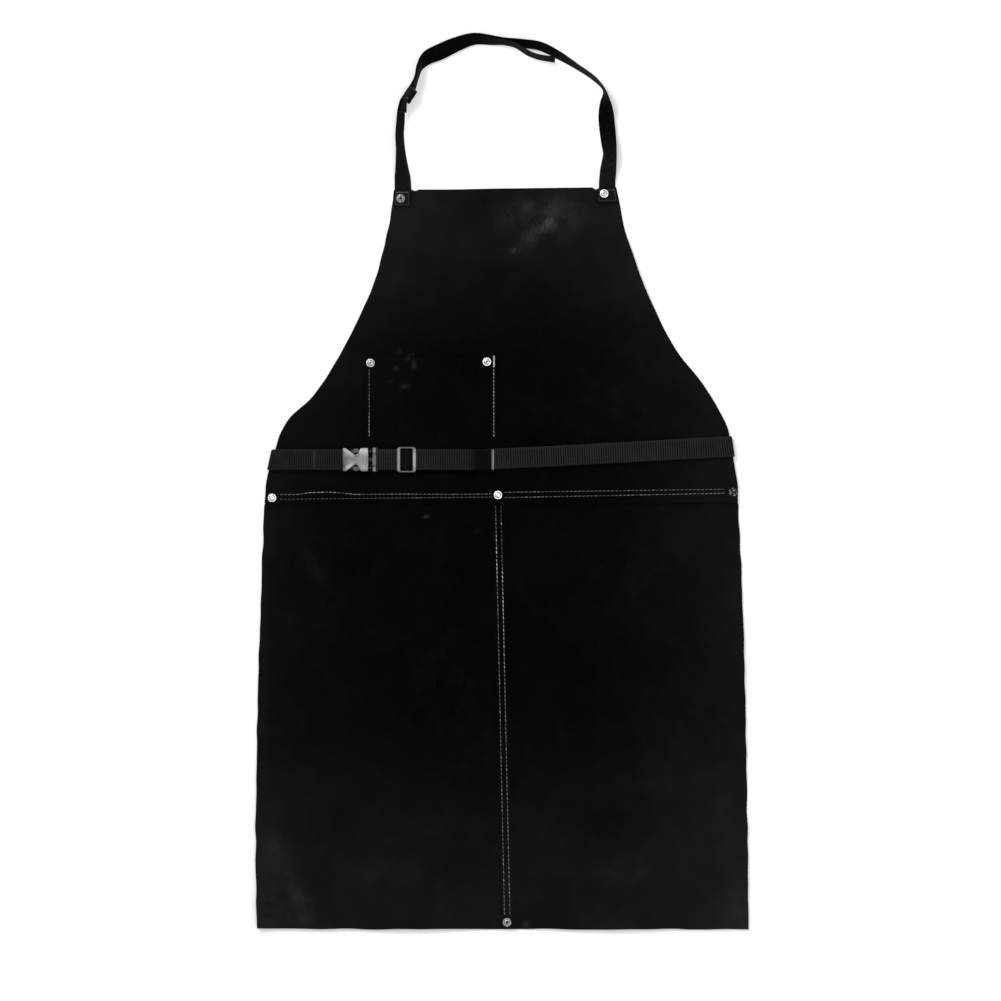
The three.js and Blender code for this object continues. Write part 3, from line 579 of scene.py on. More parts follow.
def woven(name, dark, light, melted, rib, shine):
    g = Graph(name)
    along, across = g.uv()
    row = g.times(along, 2 * math.pi / rib)
    column = g.times(across, 2 * math.pi / 0.0016)
    weft = g.math("COSINE", g.add(row, g.times(g.sine(column), 0.5)))
    warp = g.math("ABSOLUTE", g.sine(g.times(column, 0.5)))
    yarn = g.sine(g.times(g.add(along, g.times(across, 0.45)), 2 * math.pi / 0.00042))
    weave = g.add(g.times(weft, 0.5), g.times(warp, 0.6))
    weave = g.add(weave, g.times(yarn, 0.1))
    fuzz = g.noise(g.place(), 900, 4, 0.7)
    dust = g.noise(g.place(), 55, 4, 0.6)
    tone = g.mix(g.ramp(weave, 0.1, 1.05), dark, light)
    tone = g.mix(g.times(g.ramp(fuzz, 0.55, 0.8), 0.35), tone, brighter(light, 2.2))
    tone = g.mix(g.times(g.ramp(dust, 0.5, 0.75), 0.2), tone, brighter(light, 1.3))
    tone = g.mix(g.times(g.layer("border"), 0.4), tone, brighter(light, 1.5))
    # This layer darkens the webbing: painted shade inside the slider and towards the tail's end, and darker stretches
    # of the straps elsewhere.
    tone = g.mix(g.layer("soot"), tone, brighter(dark, 0.1))
    # The melted ends take a lighter colour: partly the sealed nylon, partly a painted highlight where the ends catch
    # the light.
    melt = g.layer("melt")
    tone = g.mix(g.times(melt, 0.9), tone, melted)
    height = g.add(weave, g.times(fuzz, 0.5))
    normal = g.bump(g.times(height, g.ramp(melt, 0, 1, 1, 0.25)), 0.7, 0.00028)
    return g.finish(Base_Color=tone, Roughness=g.ramp(melt, 0, 1, 0.72, 0.36), Normal=normal,
        Specular_IOR_Level=shine, Sheen_Weight=0.02, Sheen_Roughness=0.4, Sheen_Tint=(0.85, 0.85, 0.88))


def sewing_thread():
    g = Graph("sewing_thread")
    along, around = g.uv()
    twist = g.sine(g.add(g.times(along, 2 * math.pi / 0.0008), g.times(around, 6 * math.pi)))
    fuzz = g.noise(g.place(), 1400, 3, 0.7)
    soot = g.noise(g.place(), 26, 4, 0.6)
    # Each stitch's lightness is the thread's own tone with painted glints where it catches the light.
    tone = g.mix(g.layer("shade"), (0.008, 0.008, 0.0085), (0.62, 0.62, 0.61))
    tone = g.mix(g.times(g.ramp(twist, -1, 0.3, 0.6, 0.0), 0.7), tone, grey(0.012))
    tone = g.mix(g.ramp(soot, 0.5, 0.72, 0.0, 0.5), tone, (0.012, 0.012, 0.0125))
    normal = g.bump(g.add(twist, g.times(fuzz, 0.8)), 0.6, 0.0001)
    return g.finish(Base_Color=tone, Roughness=0.62, Normal=normal, Sheen_Weight=0.2, Sheen_Roughness=0.4)


def rivet_metal():
    g = Graph("nickel_plate")
    at = g.place()
    haze = g.noise(at, 500, 4, 0.6)
    scratch = g.noise(g.place((1, 0.06, 1), 0.9), 2600, 2, 0.6)
    spots = g.noise(at, 1500, 3, 0.55)
    tone = g.mix(g.ramp(haze, 0.35, 0.7), (0.80, 0.79, 0.77), (0.60, 0.59, 0.57))
    tone = g.mix(g.ramp(spots, 0.66, 0.74, 0, 0.6), tone, (0.16, 0.14, 0.12))
    dirt = g.times(g.layer("dirt"), g.ramp(spots, 0.3, 0.6, 0.9, 1.0))
    tone = g.mix(dirt, tone, (0.012, 0.011, 0.01))
    rough = g.add(g.ramp(haze, 0.3, 0.75, 0.2, 0.36), g.ramp(scratch, 0.45, 0.75, 0, 0.12))
    rough = g.add(rough, g.times(dirt, 0.4))
    normal = g.bump(g.add(g.times(scratch, 0.7), spots), 0.16, 0.0001)
    return g.finish(Base_Color=tone, Metallic=1.0, Roughness=rough, Normal=normal)


def moulded_plastic(name, low, high, rough=0.2, coat=0.3, shine=0.35):
    g = Graph(name)
    at = g.place()
    flow = g.noise(at, 90, 3, 0.5, 0.8)
    speck = g.noise(at, 2200, 2, 0.6)
    scratch = g.noise(g.place((1, 0.05, 1), 0.35), 1900, 2, 0.65)
    tone = g.mix(g.ramp(flow, 0.35, 0.65), low, high)
    tone = g.mix(g.ramp(scratch, 0.62, 0.74, 0, 0.35), tone, brighter(high, 1.7))
    # Two painted layers: a painted highlight lightens the colour, and painted shade darkens it, roughens it and takes
    # away its coat.
    deep = g.layer("deep")
    tone = g.mix(g.layer("pale"), tone, brighter(high, 3.2))
    tone = g.mix(deep, tone, brighter(low, 0.01))
    gloss = g.add(g.ramp(flow, 0.3, 0.7, rough, rough + 0.09), g.ramp(scratch, 0.58, 0.75, 0, 0.2))
    gloss = g.add(gloss, g.times(deep, 0.5))
    normal = g.bump(g.add(g.times(speck, 0.6), g.times(scratch, 0.5)), 0.12, 0.0001)
    return g.finish(Base_Color=tone, Roughness=gloss, Normal=normal, Specular_IOR_Level=shine,
        Coat_Weight=g.times(g.ramp(deep, 0, 1, 1, 0), coat), Coat_Roughness=0.12)


def floor_paper():
    g = Graph("studio_floor")
    fine = g.noise(g.place(), 60, 3, 0.5)
    tone = g.mix(g.ramp(fine, 0.3, 0.7), (0.90, 0.90, 0.905), (0.93, 0.93, 0.935))
    return g.finish(Base_Color=tone, Roughness=0.9, Specular_IOR_Level=0.2)


HIDE = split_leather()
# The belt's light grey melted colour is partly a painted highlight on its sealed ends.
BELT = dict(width=BELT_WIDTH, rib=2.9, slot="belt_webbing", material=woven("belt_webbing", grey(0.0005),
    (0.021, 0.021, 0.0212), (0.20, 0.20, 0.2), 0.0029, 0.05))
NECK = dict(width=NECK_WIDTH, rib=1.9, slot="neck_webbing", material=woven("neck_webbing", grey(0.0006),
    (0.0165, 0.0163, 0.0162), grey(0.02), 0.0019, 0.03))
THREAD = sewing_thread()
NICKEL = rivet_metal()
BUCKLE_PLASTIC = moulded_plastic("buckle_plastic", (0.082, 0.083, 0.084), (0.112, 0.113, 0.115), 0.15)
SLIDER_PLASTIC = moulded_plastic("slider_plastic", (0.085, 0.086, 0.088), (0.12, 0.121, 0.123), 0.18)
BLACK_PLASTIC = moulded_plastic("black_plastic", (0.001, 0.001, 0.0011), (0.003, 0.003, 0.0031), 0.5, 0.0, 0.08)

# ---- leather: what dips into it, and its scuffs

ROWS = {  # the seams that are sewn on the apron: where each runs, in plan
    "waist_thread_lower_left": [(-272, 524.2), (-12.5, 527)],
    "waist_thread_upper_left": [(-272, 530.0), (-250, 530.2), (-234, 532.4), (-214, 533.0), (-196, 531.9),
        (-180, 530.2), (-120, 530.6), (-60, 530.2), (-12.5, 530.8)],
    "waist_thread_lower_right": [(1.5, 526.3), (272, 531.6)],
    "waist_thread_upper_right": [(1.5, 532.7), (272, 536.5)],
    "pocket_thread_left": [(-162.6, 600), (-162.6, 684)],
    "pocket_thread_right": [(-10.6, 600), (-10.6, 686)],
    "pocket_thread_bottom": [(-162.6, 566), (-11, 566)],
}
SEAM_ROWS = {
    "centre_thread_left": [(seam_x(517, -3.25), 517), (seam_x(17, -3.25), 17)],
    "centre_thread_right": [(seam_x(517, 3.25), 517), (seam_x(17, 3.25), 17)],
}


def off_row(x, y, a, b):
    """How far each place is from a row of stitches, and how far along the row."""
    (ax, ay), (bx, by) = a, b
    run = math.hypot(bx - ax, by - ay)
    t = np.clip(((x - ax) * (bx - ax) + (y - ay) * (by - ay)) / run**2, 0, 1)
    return np.hypot(x - ax - t * (bx - ax), y - ay - t * (by - ay)), t * run


def pressed(x, y):
    """How far stitches and rivets pull the top of the leather down."""
    x, y = np.broadcast_arrays(np.asarray(x, float), np.asarray(y, float))
    depth = np.zeros(x.shape)
    for line in [*ROWS.values(), *SEAM_ROWS.values()]:
        for a, b in zip(line, line[1:]):
            away, reach = off_row(x, y, a, b)
            depth = np.maximum(depth, (0.42 + 0.1 * np.cos(2 * math.pi * reach / 5)) * bell(away, 1.5))
    for rx, ry, _ in RIVETS.values():
        depth = np.maximum(depth, 0.5 * bell(np.hypot(x - rx, y - ry), 7.5, 4))
    return depth


SCUFFS = [  # x, y, length, width, turn, strength
    (53, 856, 15, 7, 0.4, 0.62), (57, 862, 7, 5, 0.8, 0.9), (36, 848, 24, 9, 1.0, 0.26),
    (66, 876, 26, 15, 0.2, 0.22), (18, 872, 26, 18, 0.0, 0.12), (84, 860, 20, 12, 0.9, 0.12),
    (30, 880, 12, 8, 0.5, 0.2), (14, 828, 5, 3, 0.3, 0.3), (-130, 684, 3, 3, 0.3, 0.18),
    (-116, 696, 4, 2.5, 0.1, 0.2), (-108, 688, 2.5, 5, 0.1, 0.16), (-112, 700, 6, 2, 0.4, 0.2),
    (-126, 704, 3, 4, 0.1, 0.14), (-119, 662, 5, 2, 0.1, 0.2), (-136, 668, 3, 2, 0.1, 0.12),
    (-93, 503, 3.2, 2, 0.1, 0.4), (-30, 486, 3, 1.5, 0.1, 0.12), (-278, 100, 13, 22, 0.25, 0.08),
    (-264, 68, 13, 24, 0.6, 0.10), (-251, 42, 12, 26, 0.4, 0.12), (-243, 14, 11, 24, 0.1, 0.13),
    (-284, 26, 22, 26, 0.2, 0.10), (-262, 8, 26, 16, 0.0, 0.06), (-230, 440, 14, 26, 0.3, 0.03),
    (-212, 396, 22, 30, 0.2, 0.015), (29, 5, 4, 4, 0.0, 0.3), (180, 430, 60, 45, 0.2, 0.012),
    (-60, 300, 50, 70, 0.5, 0.008), (120, 640, 60, 30, 0.2, 0.015), (200, 210, 50, 80, 0.3, 0.012),
    (270, 150, 14, 90, 0.1, 0.02), (-292, 260, 8, 140, 0.0, 0.02), (292, 18, 12, 22, 0.2, 0.06),
    (-180, 60, 90, 14, 0.15, 0.012), (140, 70, 110, 16, -0.1, 0.012),
]


def scuffed(x, y):
    total = np.zeros(np.broadcast(x, y).shape)
    for sx, sy, length, width, turn, strength in SCUFFS:
        u = (x - sx) * math.cos(turn) + (y - sy) * math.sin(turn)
        v = (y - sy) * math.cos(turn) - (x - sx) * math.sin(turn)
        total = np.maximum(total, strength * np.exp(-((u / length) ** 2 + (v / width) ** 2)))
    return total


def faded(x, y):
    """The hide is paler towards its outer edges, the hem and the top of the bib."""
    left, right = width_at(y)
    border = np.minimum(x - left, right - x)
    return np.clip((0.02 + 0.26 * np.exp(-np.maximum(border, 0) / 60) + 0.40 * ease(y, 300, 0) + 0.33
        * ease(y, 690, 880) + 0.12 * ease(x, 60, 280)) * (1 + 0.18 * ripple(x, y, 130, 91)), 0, 1)


def bib_low(x, y):
    return FIRST + STEP * ease(y, 628, 597) + lift(x, y)


def right_skirt_low(x, y):
    off = (x - seam_x(y)) * math.cos(SEAM_LEAN)
    return FIRST + STEP * ease(off, 15, 7.5) * ease(y, 520, 511) + lift(x, y)


def bib_top(x, y):
    return bib_low(x, y) + LEATHER - pressed(x, y)


def nap_relief(x, y, seed):
    """The slight unevenness of a split hide's thickness."""
    return 0.10 * ripple(x, y, 26, seed) + 0.05 * ripple(x, y, 9, seed + 1)


# ---- leather panels

def bib():
    rows = spaced((WAIST, WAIST + 2, 0.5), (WAIST + 2, 540, 0.9), (540, 902, 2.6), (902, BIB_RIGHT, 0.7))
    share = spaced((0, 0.006, 0.002), (0.006, 0.994, 0.0048), (0.994, 1, 0.002))
    t = (rows - WAIST) / (BIB_RIGHT - WAIST)
    ly, ry = WAIST + t * (BIB_LEFT - WAIST), rows
    lx = left_of["bib"](ly) + 0.5 * ripple(ly, 0 * ly, 37, 31)
    rx = right_of["bib"](ry) + 0.5 * ripple(ry, 0 * ry, 41, 32)
    s = share[None]
    x = lx[:, None] * (1 - s) + rx[:, None] * s
    y = ly[:, None] * (1 - s) + ry[:, None] * s
    y = y + (0.7 * ripple(x, 0 * x, 90, 33)) * (ease(y, 890, 903) - ease(y, 526, 520))
    notch = 2.4 * bell(x - 114.5, 3.6, 4) + 1.6 * bell(x + 106.5, 3.2, 4)
    y = y - notch * ease(y, 894, 903)
    thick = LEATHER - pressed(x, y) + nap_relief(x, y, 41) * ease(abs(y - WAIST_ROW), 6, 14)
    piece = leather_sheet("bib_leather", x, y, bib_low(x, y), thick, body="apron", replaces=("bib_panel",))
    return piece, sheet_area(x, y)


def sheet_area(x, y):
    """The area in square metres of a grid of places, from its border."""
    p = np.stack([x, y], -1)
    ring = np.concatenate([p[0], p[1:, -1], p[-1, ::-1], p[:0:-1, 0]])
    ahead = np.roll(ring, -1, 0)
    return abs((ring[:, 0] * ahead[:, 1] - ring[:, 1] * ahead[:, 0]).sum()) / 2e6


def skirt(side):
    """One skirt panel with its sewn edge behind the bib."""
    left = side == "left"
    rows = spaced((0, 2, 0.7), (2, 490, 3.0), (490, 524, 1.3), (524, SKIRT_TOP, 2.5))
    share = spaced((0, 0.005, 0.0017), (0.005, 0.93, 0.0095), (0.93, 1, 0.0034))
    lean = ease(rows, 511, 519.5)
    if left:
        outer = left_of["skirt"](np.minimum(rows, WAIST)) + 0.5 * ripple(rows, 0 * rows, 43, 51)
        outer = outer + 2.4 * ease(rows, 517, 521)
        inner = seam_x(rows, SEAM_LAP) * (1 - lean) + -12.3 * lean
        s = share[None]
        x = outer[:, None] * (1 - s) + inner[:, None] * s
        hem_left, hem_right = 1.5, 0.3
    else:
        inner = seam_x(np.minimum(rows, WAIST), -SEAM_LAP)
        outer = right_of["skirt"](np.minimum(rows, WAIST)) + 0.5 * ripple(rows, 0 * rows, 43, 52)
        outer = outer - 1.2 * ease(rows, 517, 521)
        s = (1 - share[::-1])[None]
        x = inner[:, None] * (1 - s) + outer[:, None] * s
        hem_left, hem_right = 0.6, 0.0
    y = rows[:, None] + (hem_left * (1 - s) + hem_right * s) * ease(rows, 40, 0)[:, None]
    y = y + 0.6 * ripple(x, 0 * x, 75, 61 + left) * ease(rows, 20, 0)[:, None] * ease(abs(x - 5), 8, 30)
    y = np.maximum(y, 0.0)
    low = FIRST + lift(x, y) if left else right_skirt_low(x, y)
    thick = LEATHER - (0 if left else pressed(x, y)) + nap_relief(x, y, 43 + left) * ease(rows, 512, 500)[:, None]
    piece = leather_sheet(f"skirt_{side}_leather", x, y, low, thick,
        replaces=(f"skirt_{side}", f"skirt_{side}_sewn_edge"))
    return turn_with_skirts(piece), sheet_area(x, y)


def turn_with_skirts(piece):
    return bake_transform(piece)


def pocket_rise(x, y):
    """The pocket's mouth stands open in a low arch, which dies out towards the bottom."""
    span = np.clip((x + 157) / 140, 0, 1)
    arch = np.sin(math.pi * span) ** 1.4
    return 6.4 * arch * ease(y, 598, 700) * (1 + 0.12 * ripple(x, y, 80, 71))


def pocket_low(x, y):
    return bib_low(x, y) + STEP + pocket_rise(x, y)


def pocket_top(x, y):
    return pocket_low(x, y) + LEATHER - pressed(x, y)


def pocket():
    x0, x1, y0, y1 = -166.5, -8.0, 562.0, 698.0
    columns = spaced((x0, x0 + 7, 0.9), (x0 + 7, x1 - 6, 2.6), (x1 - 6, x1, 0.9))
    rows = spaced((y0, y0 + 6, 1.0), (y0 + 6, y1 - 6, 2.6), (y1 - 6, y1, 0.9))
    x, y = np.meshgrid(columns, rows)
    y = y + 0.5 * ripple(x, 0 * x, 48, 72) * ease(y, 680, 698) - 1.2 * np.sin(math.pi
        * (x - x0) / (x1 - x0)) * ease(y, 660, 698)
    x = x + 0.4 * ripple(y, 0 * y, 40, 73) * (ease(x, x1 - 20, x1) - ease(x, x0 + 20, x0))
    thick = LEATHER - pressed(x, y) + nap_relief(x, y, 47) * ease(y, 575, 590)
    piece = leather_sheet("pocket_leather", x, y, pocket_low(x, y), thick, body="apron", replaces=("chest_pocket",))
    return piece, sheet_area(x, y)


def patch_low(side, x):
    return FIRST + STEP + 0.1 + 1.35 * ease(abs(x - STRAP_X[side]), 12.5, 9.5)


def corner_patch(side, corners):
    """A small leather patch over the end of the neck strap, pressed down by its rivet."""
    (ax, ay), (bx, by), (cx, cy), (dx, dy) = corners
    u, v = np.meshgrid(np.linspace(0, 1, 34), np.linspace(0, 1, 34))
    x = (ax * (1 - u) + bx * u) * (1 - v) + (dx * (1 - u) + cx * u) * v
    y = (ay * (1 - u) + by * u) * (1 - v) + (dy * (1 - u) + cy * u) * v
    x, y = x + 0.35 * ripple(y, x, 14, 81), y + 0.35 * ripple(x, y, 13, 82)
    rx, ry, _ = RIVETS[f"neck_{side}"]
    press = 0.55 * bell(np.hypot(x - rx, y - ry), 6.5, 4)
    for a, b in zip(PATCH_ROWS[side], PATCH_ROWS[side][1:]):
        press = np.maximum(press, 0.4 * bell(off_row(x, y, a, b)[0], 0.9))
    leather_sheet(f"corner_patch_{side}_leather", x, y, patch_low(side, x),
        LEATHER - press + 0.06 * ripple(x, y, 8, 83), worn=False, body="apron", replaces=(f"corner_patch_{side}",))


PATCHES = {
    "left": [(-133.2, 881.5), (-112.8, 881.5), (-112.4, 900.6), (-131.4, 900.3)],
    "right": [(115.8, 886), (140.2, 886.4), (137.9, 903.2), (116, 902.8)],
}
PATCH_ROWS = {
    "left": [(-131.2, 883.4), (-114.8, 883.4), (-114.6, 898.6), (-129.5, 898.4), (-131.2, 883.4)],
    "right": [(117.8, 888.3), (138.2, 888.5), (136.2, 901.2), (117.8, 900.8), (117.8, 888.3)],
}

bib_sheet, bib_area = bib()
left_sheet, left_area = skirt("left")
right_sheet, right_area = skirt("right")
pocket_sheet, pocket_area = pocket()
for side, corners in PATCHES.items():
    corner_patch(side, corners)

# ---- stitching

# Each row's lightness is partly the thread's tone and partly painted glints where the stitches catch the light.
THREAD_TONE_AND_GLINT = {  # how light each row's thread is, along its length; the rest are grey
    "waist_thread_lower_left": [(0, 0.02), (0.5, 0.04), (0.62, 0.12), (0.75, 0.1), (0.85, 0.04), (1, 0.05)],
    "waist_thread_upper_left": [(0, 0.08), (0.05, 0.25), (0.1, 0.12), (0.15, 0.42), (0.26, 0.36), (0.3, 0.1),
        (0.36, 0.35), (0.39, 0.05), (0.48, 0.16), (0.6, 0.2), (0.7, 0.1), (0.85, 0.14), (1, 0.16)],
    "waist_thread_lower_right": [(0, 0.03), (0.08, 0.16), (0.17, 0.38), (0.22, 0.18), (0.4, 0.12), (0.6, 0.18),
        (1, 0.15)],
    "waist_thread_upper_right": [(0, 0.12), (0.1, 0.2), (0.2, 0.14), (0.4, 0.12), (0.7, 0.13), (1, 0.12)],
    "centre_thread_left": [(0, 0.06), (0.06, 0.2), (0.08, 0.6), (0.14, 0.75), (0.18, 0.4), (0.3, 0.25),
        (0.8, 0.2), (1, 0.3)],
    "centre_thread_right": [(0, 0.03), (0.04, 0.03), (0.045, 0.9), (0.055, 0.05), (0.15, 0.12), (0.16, 0.7),
        (0.27, 0.75), (0.29, 0.5), (0.4, 0.5), (0.45, 0.25), (0.8, 0.22), (1, 0.3)],
    "pocket_thread_left": [(0, 0.4), (0.2, 0.45), (0.4, 0.15), (1, 0.12)],
    "pocket_thread_right": [(0, 0.15), (0.3, 0.3), (0.55, 0.22), (0.62, 0.5), (0.7, 0.2), (1, 0.3)],
    "patch_thread_left": [(0, 0.01), (0.5, 0.01), (0.54, 0.25), (0.74, 0.25), (0.78, 0.01), (1, 0.01)],
    "patch_thread_right": [(0, 0.01), (0.45, 0.01), (0.5, 0.22), (0.8, 0.18), (0.85, 0.01), (1, 0.01)],
}


def sewn(name, line, top, low, pitch=5.0, size=0.46, turning=False, seed=1):
    """A seam's threads on the front and on the back."""
    body = None if turning else "apron"
    pieces = [
        thread_row(name, line, lambda x, y: top(x, y) + 0.02, pitch, size, seed=seed, tone_and_glint=THREAD_TONE_AND_GLINT.get(name, 0.3),
                   body=body, replaces=(name,)),
        thread_row(f"{name}_back", line, lambda x, y: low(x, y) + 0.12, pitch, min(0.8 * size, 0.4), under=True,
                   seed=seed + 50, tone_and_glint=0.22, body=body),
    ]
    if turning:
        for piece in pieces:
            turn_with_skirts(piece)


def ground(x, y):
    return FIRST + lift(x, y)


for i, (name, line) in enumerate(ROWS.items()):
    if name.startswith("waist"):
        sewn(name, line, bib_top, ground, seed=10 + i, size=0.5)
    else:
        sewn(name, line, pocket_top, bib_low, pitch=4.4, seed=10 + i, size=0.8 if "right" in name else 0.42)
for i, (name, line) in enumerate(SEAM_ROWS.items()):
    sewn(name, line, lambda x, y: right_skirt_low(x, y) + LEATHER - pressed(x, y), ground, turning=True,
        seed=20 + i)
for i, (side, line) in enumerate(PATCH_ROWS.items()):
    sewn(f"patch_thread_{side}", line, lambda x, y: patch_low(side, x) + LEATHER - 0.32, lambda x, y: FIRST + 0 * x,
        pitch=2.9, size=0.34, seed=30 + i)

# ---- rivets

CAP = [(0, -2.6), (1.4, -2.6), (1.5, -0.2), (4.2, -0.35), (4.9, -0.3), (5.2, 0.05), (5.22, 0.35), (5.0, 0.62),
    (4.7, 0.72), (4.42, 0.7), (4.2, 0.66), (4.0, 0.78), (3.7, 1.18), (3.2, 1.62), (2.6, 1.95), (2.0, 2.13),
    (1.5, 2.18), (1.15, 2.12), (0.95, 1.9), (0.8, 1.66), (0.5, 1.56), (0, 1.54)]
BASE = [(0, 0.05), (0.7, 0.06), (0.95, 0.12), (1.15, 0.02), (1.45, 0.0), (1.75, 0.08), (1.9, 0.22), (2.3, 0.26),
    (3.6, 0.2), (4.3, 0.14), (4.62, 0.2), (4.8, 0.42), (4.75, 0.75), (4.5, 0.82), (0, 0.82)]


TARNISH = {  # how dirty each cap is all over, and in its middle
    "neck_left": (0.62, 1.0), "neck_right": (0.06, 0.5), "pocket_left": (0.34, 0.4), "pocket_right": (0.08, 0.7),
    "waist_left": (0.0, 0.1), "waist_centre": (0.02, 0.1), "waist_right": (0.93, 1.0), "hem": (0.55, 0.7),
}


def rivet(name, x, y, seat, tilt):
    cap, cap_faces = lathe(CAP)
    far = np.hypot(cap[:, 0], cap[:, 1])
    overall, middle = TARNISH[name]
    dirt = np.clip(overall * (1.05 + 0.4 * ripple(cap[:, 0] + x, cap[:, 1], 4, 17)) + middle * ease(far, 2.1, 1.3)
        + 0.2 * ease(far, 4.9, 5.2), 0, 1)
    dent = 1 + 0.012 * np.cos(2 * np.arctan2(cap[:, 1], cap[:, 0]) + 3 * x)
    cap = cap * np.stack([dent, dent, 1 + 0 * dent], -1)
    cap[:, 2] += cap[:, 0] * tilt * 0.01
    base, base_faces = lathe(BASE)
    hollow = 0.3 * ease(np.hypot(base[:, 0], base[:, 1]), 1.4, 0.6)
    for half, points, faces, layer in (("cap", cap + [x, y, seat - 0.2], cap_faces, dirt),
            ("base", base + [x, y, 0], base_faces, hollow)):
        make(f"rivet_{half}_{name}_metal", points, faces, NICKEL, "skirts" if name == "hem" else "apron",
            slot="nickel", replaces=(f"rivet_{half}_{name}",), dirt=layer)


for i, (name, (x, y, seat)) in enumerate(RIVETS.items()):
    rivet(name, x, y, seat, (-1) ** i * (1 + i % 3))

# ---- waist belt

def arc(cx, cz, radius, start, stop):
    angle = np.radians(np.linspace(start, stop, 14))
    return [(cx + radius * math.cos(a), cz + radius * math.sin(a)) for a in angle]


def flat_path(line):
    """A path in the belt's own upright plane, with its width along Y."""
    x, z = np.transpose(line)
    return np.column_stack([x, 0 * x + BELT_Y, z]), np.tile([0.0, 1.0, 0.0], (len(x), 1))


def edge_turn(x, side):
    middle, radius = (MAIN_Z + END_Z) / 2, (MAIN_Z - END_Z) / 2
    turn = [(x - side * a * 0.9, z) for a, z in arc(0, middle, radius, 90, 270)]
    return [*turn, (x - side * 44, END_Z)]


def slanted(points, middle, start, stop, slope):
    """Slants the end of a belt, so that its turn follows the leather's edge."""
    points[:, 0] += slope * (points[:, 1] - middle) * ease(points[:, 0], start, stop)
    return points


def belt_left():
    line = [*edge_turn(-280.3, -1)[::-1], (-262, MAIN_Z), (-242, MAIN_Z), (-232, TAIL_Z + 0.3),
        (-212, TAIL_Z + 1.2), (FEMALE_BAR - 2, BUCKLE_Z + BAR_LOOP), *arc(FEMALE_BAR, BUCKLE_Z, BAR_LOOP, 90, -90),
        (-226, MAIN_Z)]
    ribbon("belt_strap_left_webbing", *flat_path(line), **BELT, wave=0.15, seed=3,
        warp=lambda p: slanted(p, BELT_Y, -244, -276, 0.22), soot=lambda x, y, z: 0.25 + 0 * x, body="apron",
        replaces=("belt_strap_left",))


def strap_soot(x, y, z):
    """Painted shade: the tail darkens towards its end, and inside the slider the strap is darkened for the shade it
    lies in. The strap is also a little darker between the slider and the apron's middle.
    """
    tail = ease(x, -44, -28) * ease(x, -12.8, -14.5) * (z > TAIL_Z - 0.75) * (abs(y - BELT_Y) < 12.6)
    slider = ease(abs(x - SLIDER_X), 8.6, 7.2) * (1 - 0.45 * bell(x - SLIDER_X, 1.4))
    return np.clip(np.maximum(0.75 * tail, 0.9 * slider) + 0.25 * ease(x, 60, -60) * (1 - ease(x, -60, -120)), 0, 1)


def belt_right():
    """From the free tail round the male bar and along the belt to its end behind the bib, as one length."""
    near = [(-10.4, TAIL_Z), (-60, TAIL_Z), (-105, TAIL_Z), (-132.5, TAIL_Z), (MALE_BAR + 4, BUCKLE_Z + BAR_LOOP),
        *arc(MALE_BAR, BUCKLE_Z, BAR_LOOP, 90, 270), (-140, MAIN_Z), (LEAN_X, MAIN_Z)]
    path, across = flat_path(near)
    cos, sin = math.cos(BELT_LEAN), math.sin(BELT_LEAN)
    reach = (277.5 - LEAN_X) / cos
    far = np.array([(20, MAIN_Z), (120, MAIN_Z), (240, MAIN_Z), (reach - 20, MAIN_Z), *edge_turn(reach, 1)])
    path = np.concatenate([path, np.column_stack([LEAN_X + far[:, 0] * cos, BELT_Y + far[:, 0] * sin, far[:, 1]])])
    across = np.concatenate([across, np.tile([-sin, cos, 0], (len(far), 1))])
    piece = ribbon("belt_strap_right_webbing", path, across, **BELT, wave=0.2, seed=5, soot=strap_soot,
        melt_reach=3.6, warp=lambda p: slanted(p, BELT_Y + 15.9, 242, 273, -0.09),
        replaces=("belt_strap_right", "belt_pull_through"))
    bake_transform(piece)


belt_left()
belt_right()


def back_and_forth(x, y0, y1, turns, width):
    """The zigzag of a bar-tack."""
    y = np.linspace(y0, y1, 2 * turns + 1)
    return [(x + width * (i % 2 - 0.5), v) for i, v in enumerate(y)]


thread_row("pocket_corner_bartack_thread", back_and_forth(-10.4, 685.4, 699.4, 10, 2.6), lambda x,
    y: pocket_top(x, y) + 0.02, pitch=2.7, size=0.5, seed=95, tone_and_glint=1.0, body="apron")
thread_row("belt_loop_bartack_thread", back_and_forth(-229.5, BELT_Y - 10.5, BELT_Y + 10.5, 14, 2.2), lambda x,
    y: TAIL_Z + 1.15 + 0 * x, pitch=1.55, size=0.33, seed=90, tone_and_glint=0.0, body="apron",
    replaces=("belt_loop_bartack",))
for side, x, y0 in (("left", -256, 562), ("right", 252, 577)):
    y1 = y0 + 21
    box_line = [(x - 6, y0), (x + 6, y0), (x + 6, y1), (x - 6, y1), (x - 6, y0), (x + 6, y1)]
    name = f"belt_end_thread_{side}"
    thread_row(name, box_line, bib_top, pitch=3.4, size=0.4, seed=91, tone_and_glint=0.03, body="apron", replaces=(name,))
    thread_row(f"{name}_back", box_line, lambda x, y: 0.38 + 0 * x, pitch=3.4, size=0.36, under=True, seed=92,
        tone_and_glint=0.05, body="apron")

# ---- buckle

FEMALE_EDGE = [(-195, 13.1), (-193.8, 14.3), (-190.5, 14.3), (-186.5, 11.6), (-183, 8.9), (-180.6, 7.0),
    (-178.4, 6.4), (-176.9, 7.2), (-175.8, 9.8), (-174.4, 12.6), (-171.8, 14.2), (-169, 14.3), (-164.4, 14.3),
    (-162.6, 12.5)]


def mirrored(edge):
    return [*edge, *[(x, -y) for x, y in edge[::-1]]]


FEMALE_PLAN = polygon(mirrored(FEMALE_EDGE), 1)
FEMALE_DISH = polygon(mirrored([(-192, 10), (-186, 8), (-180, 3.6), (-176, 3.6), (-172, 9), (-165.5, 10.2)]), 2)


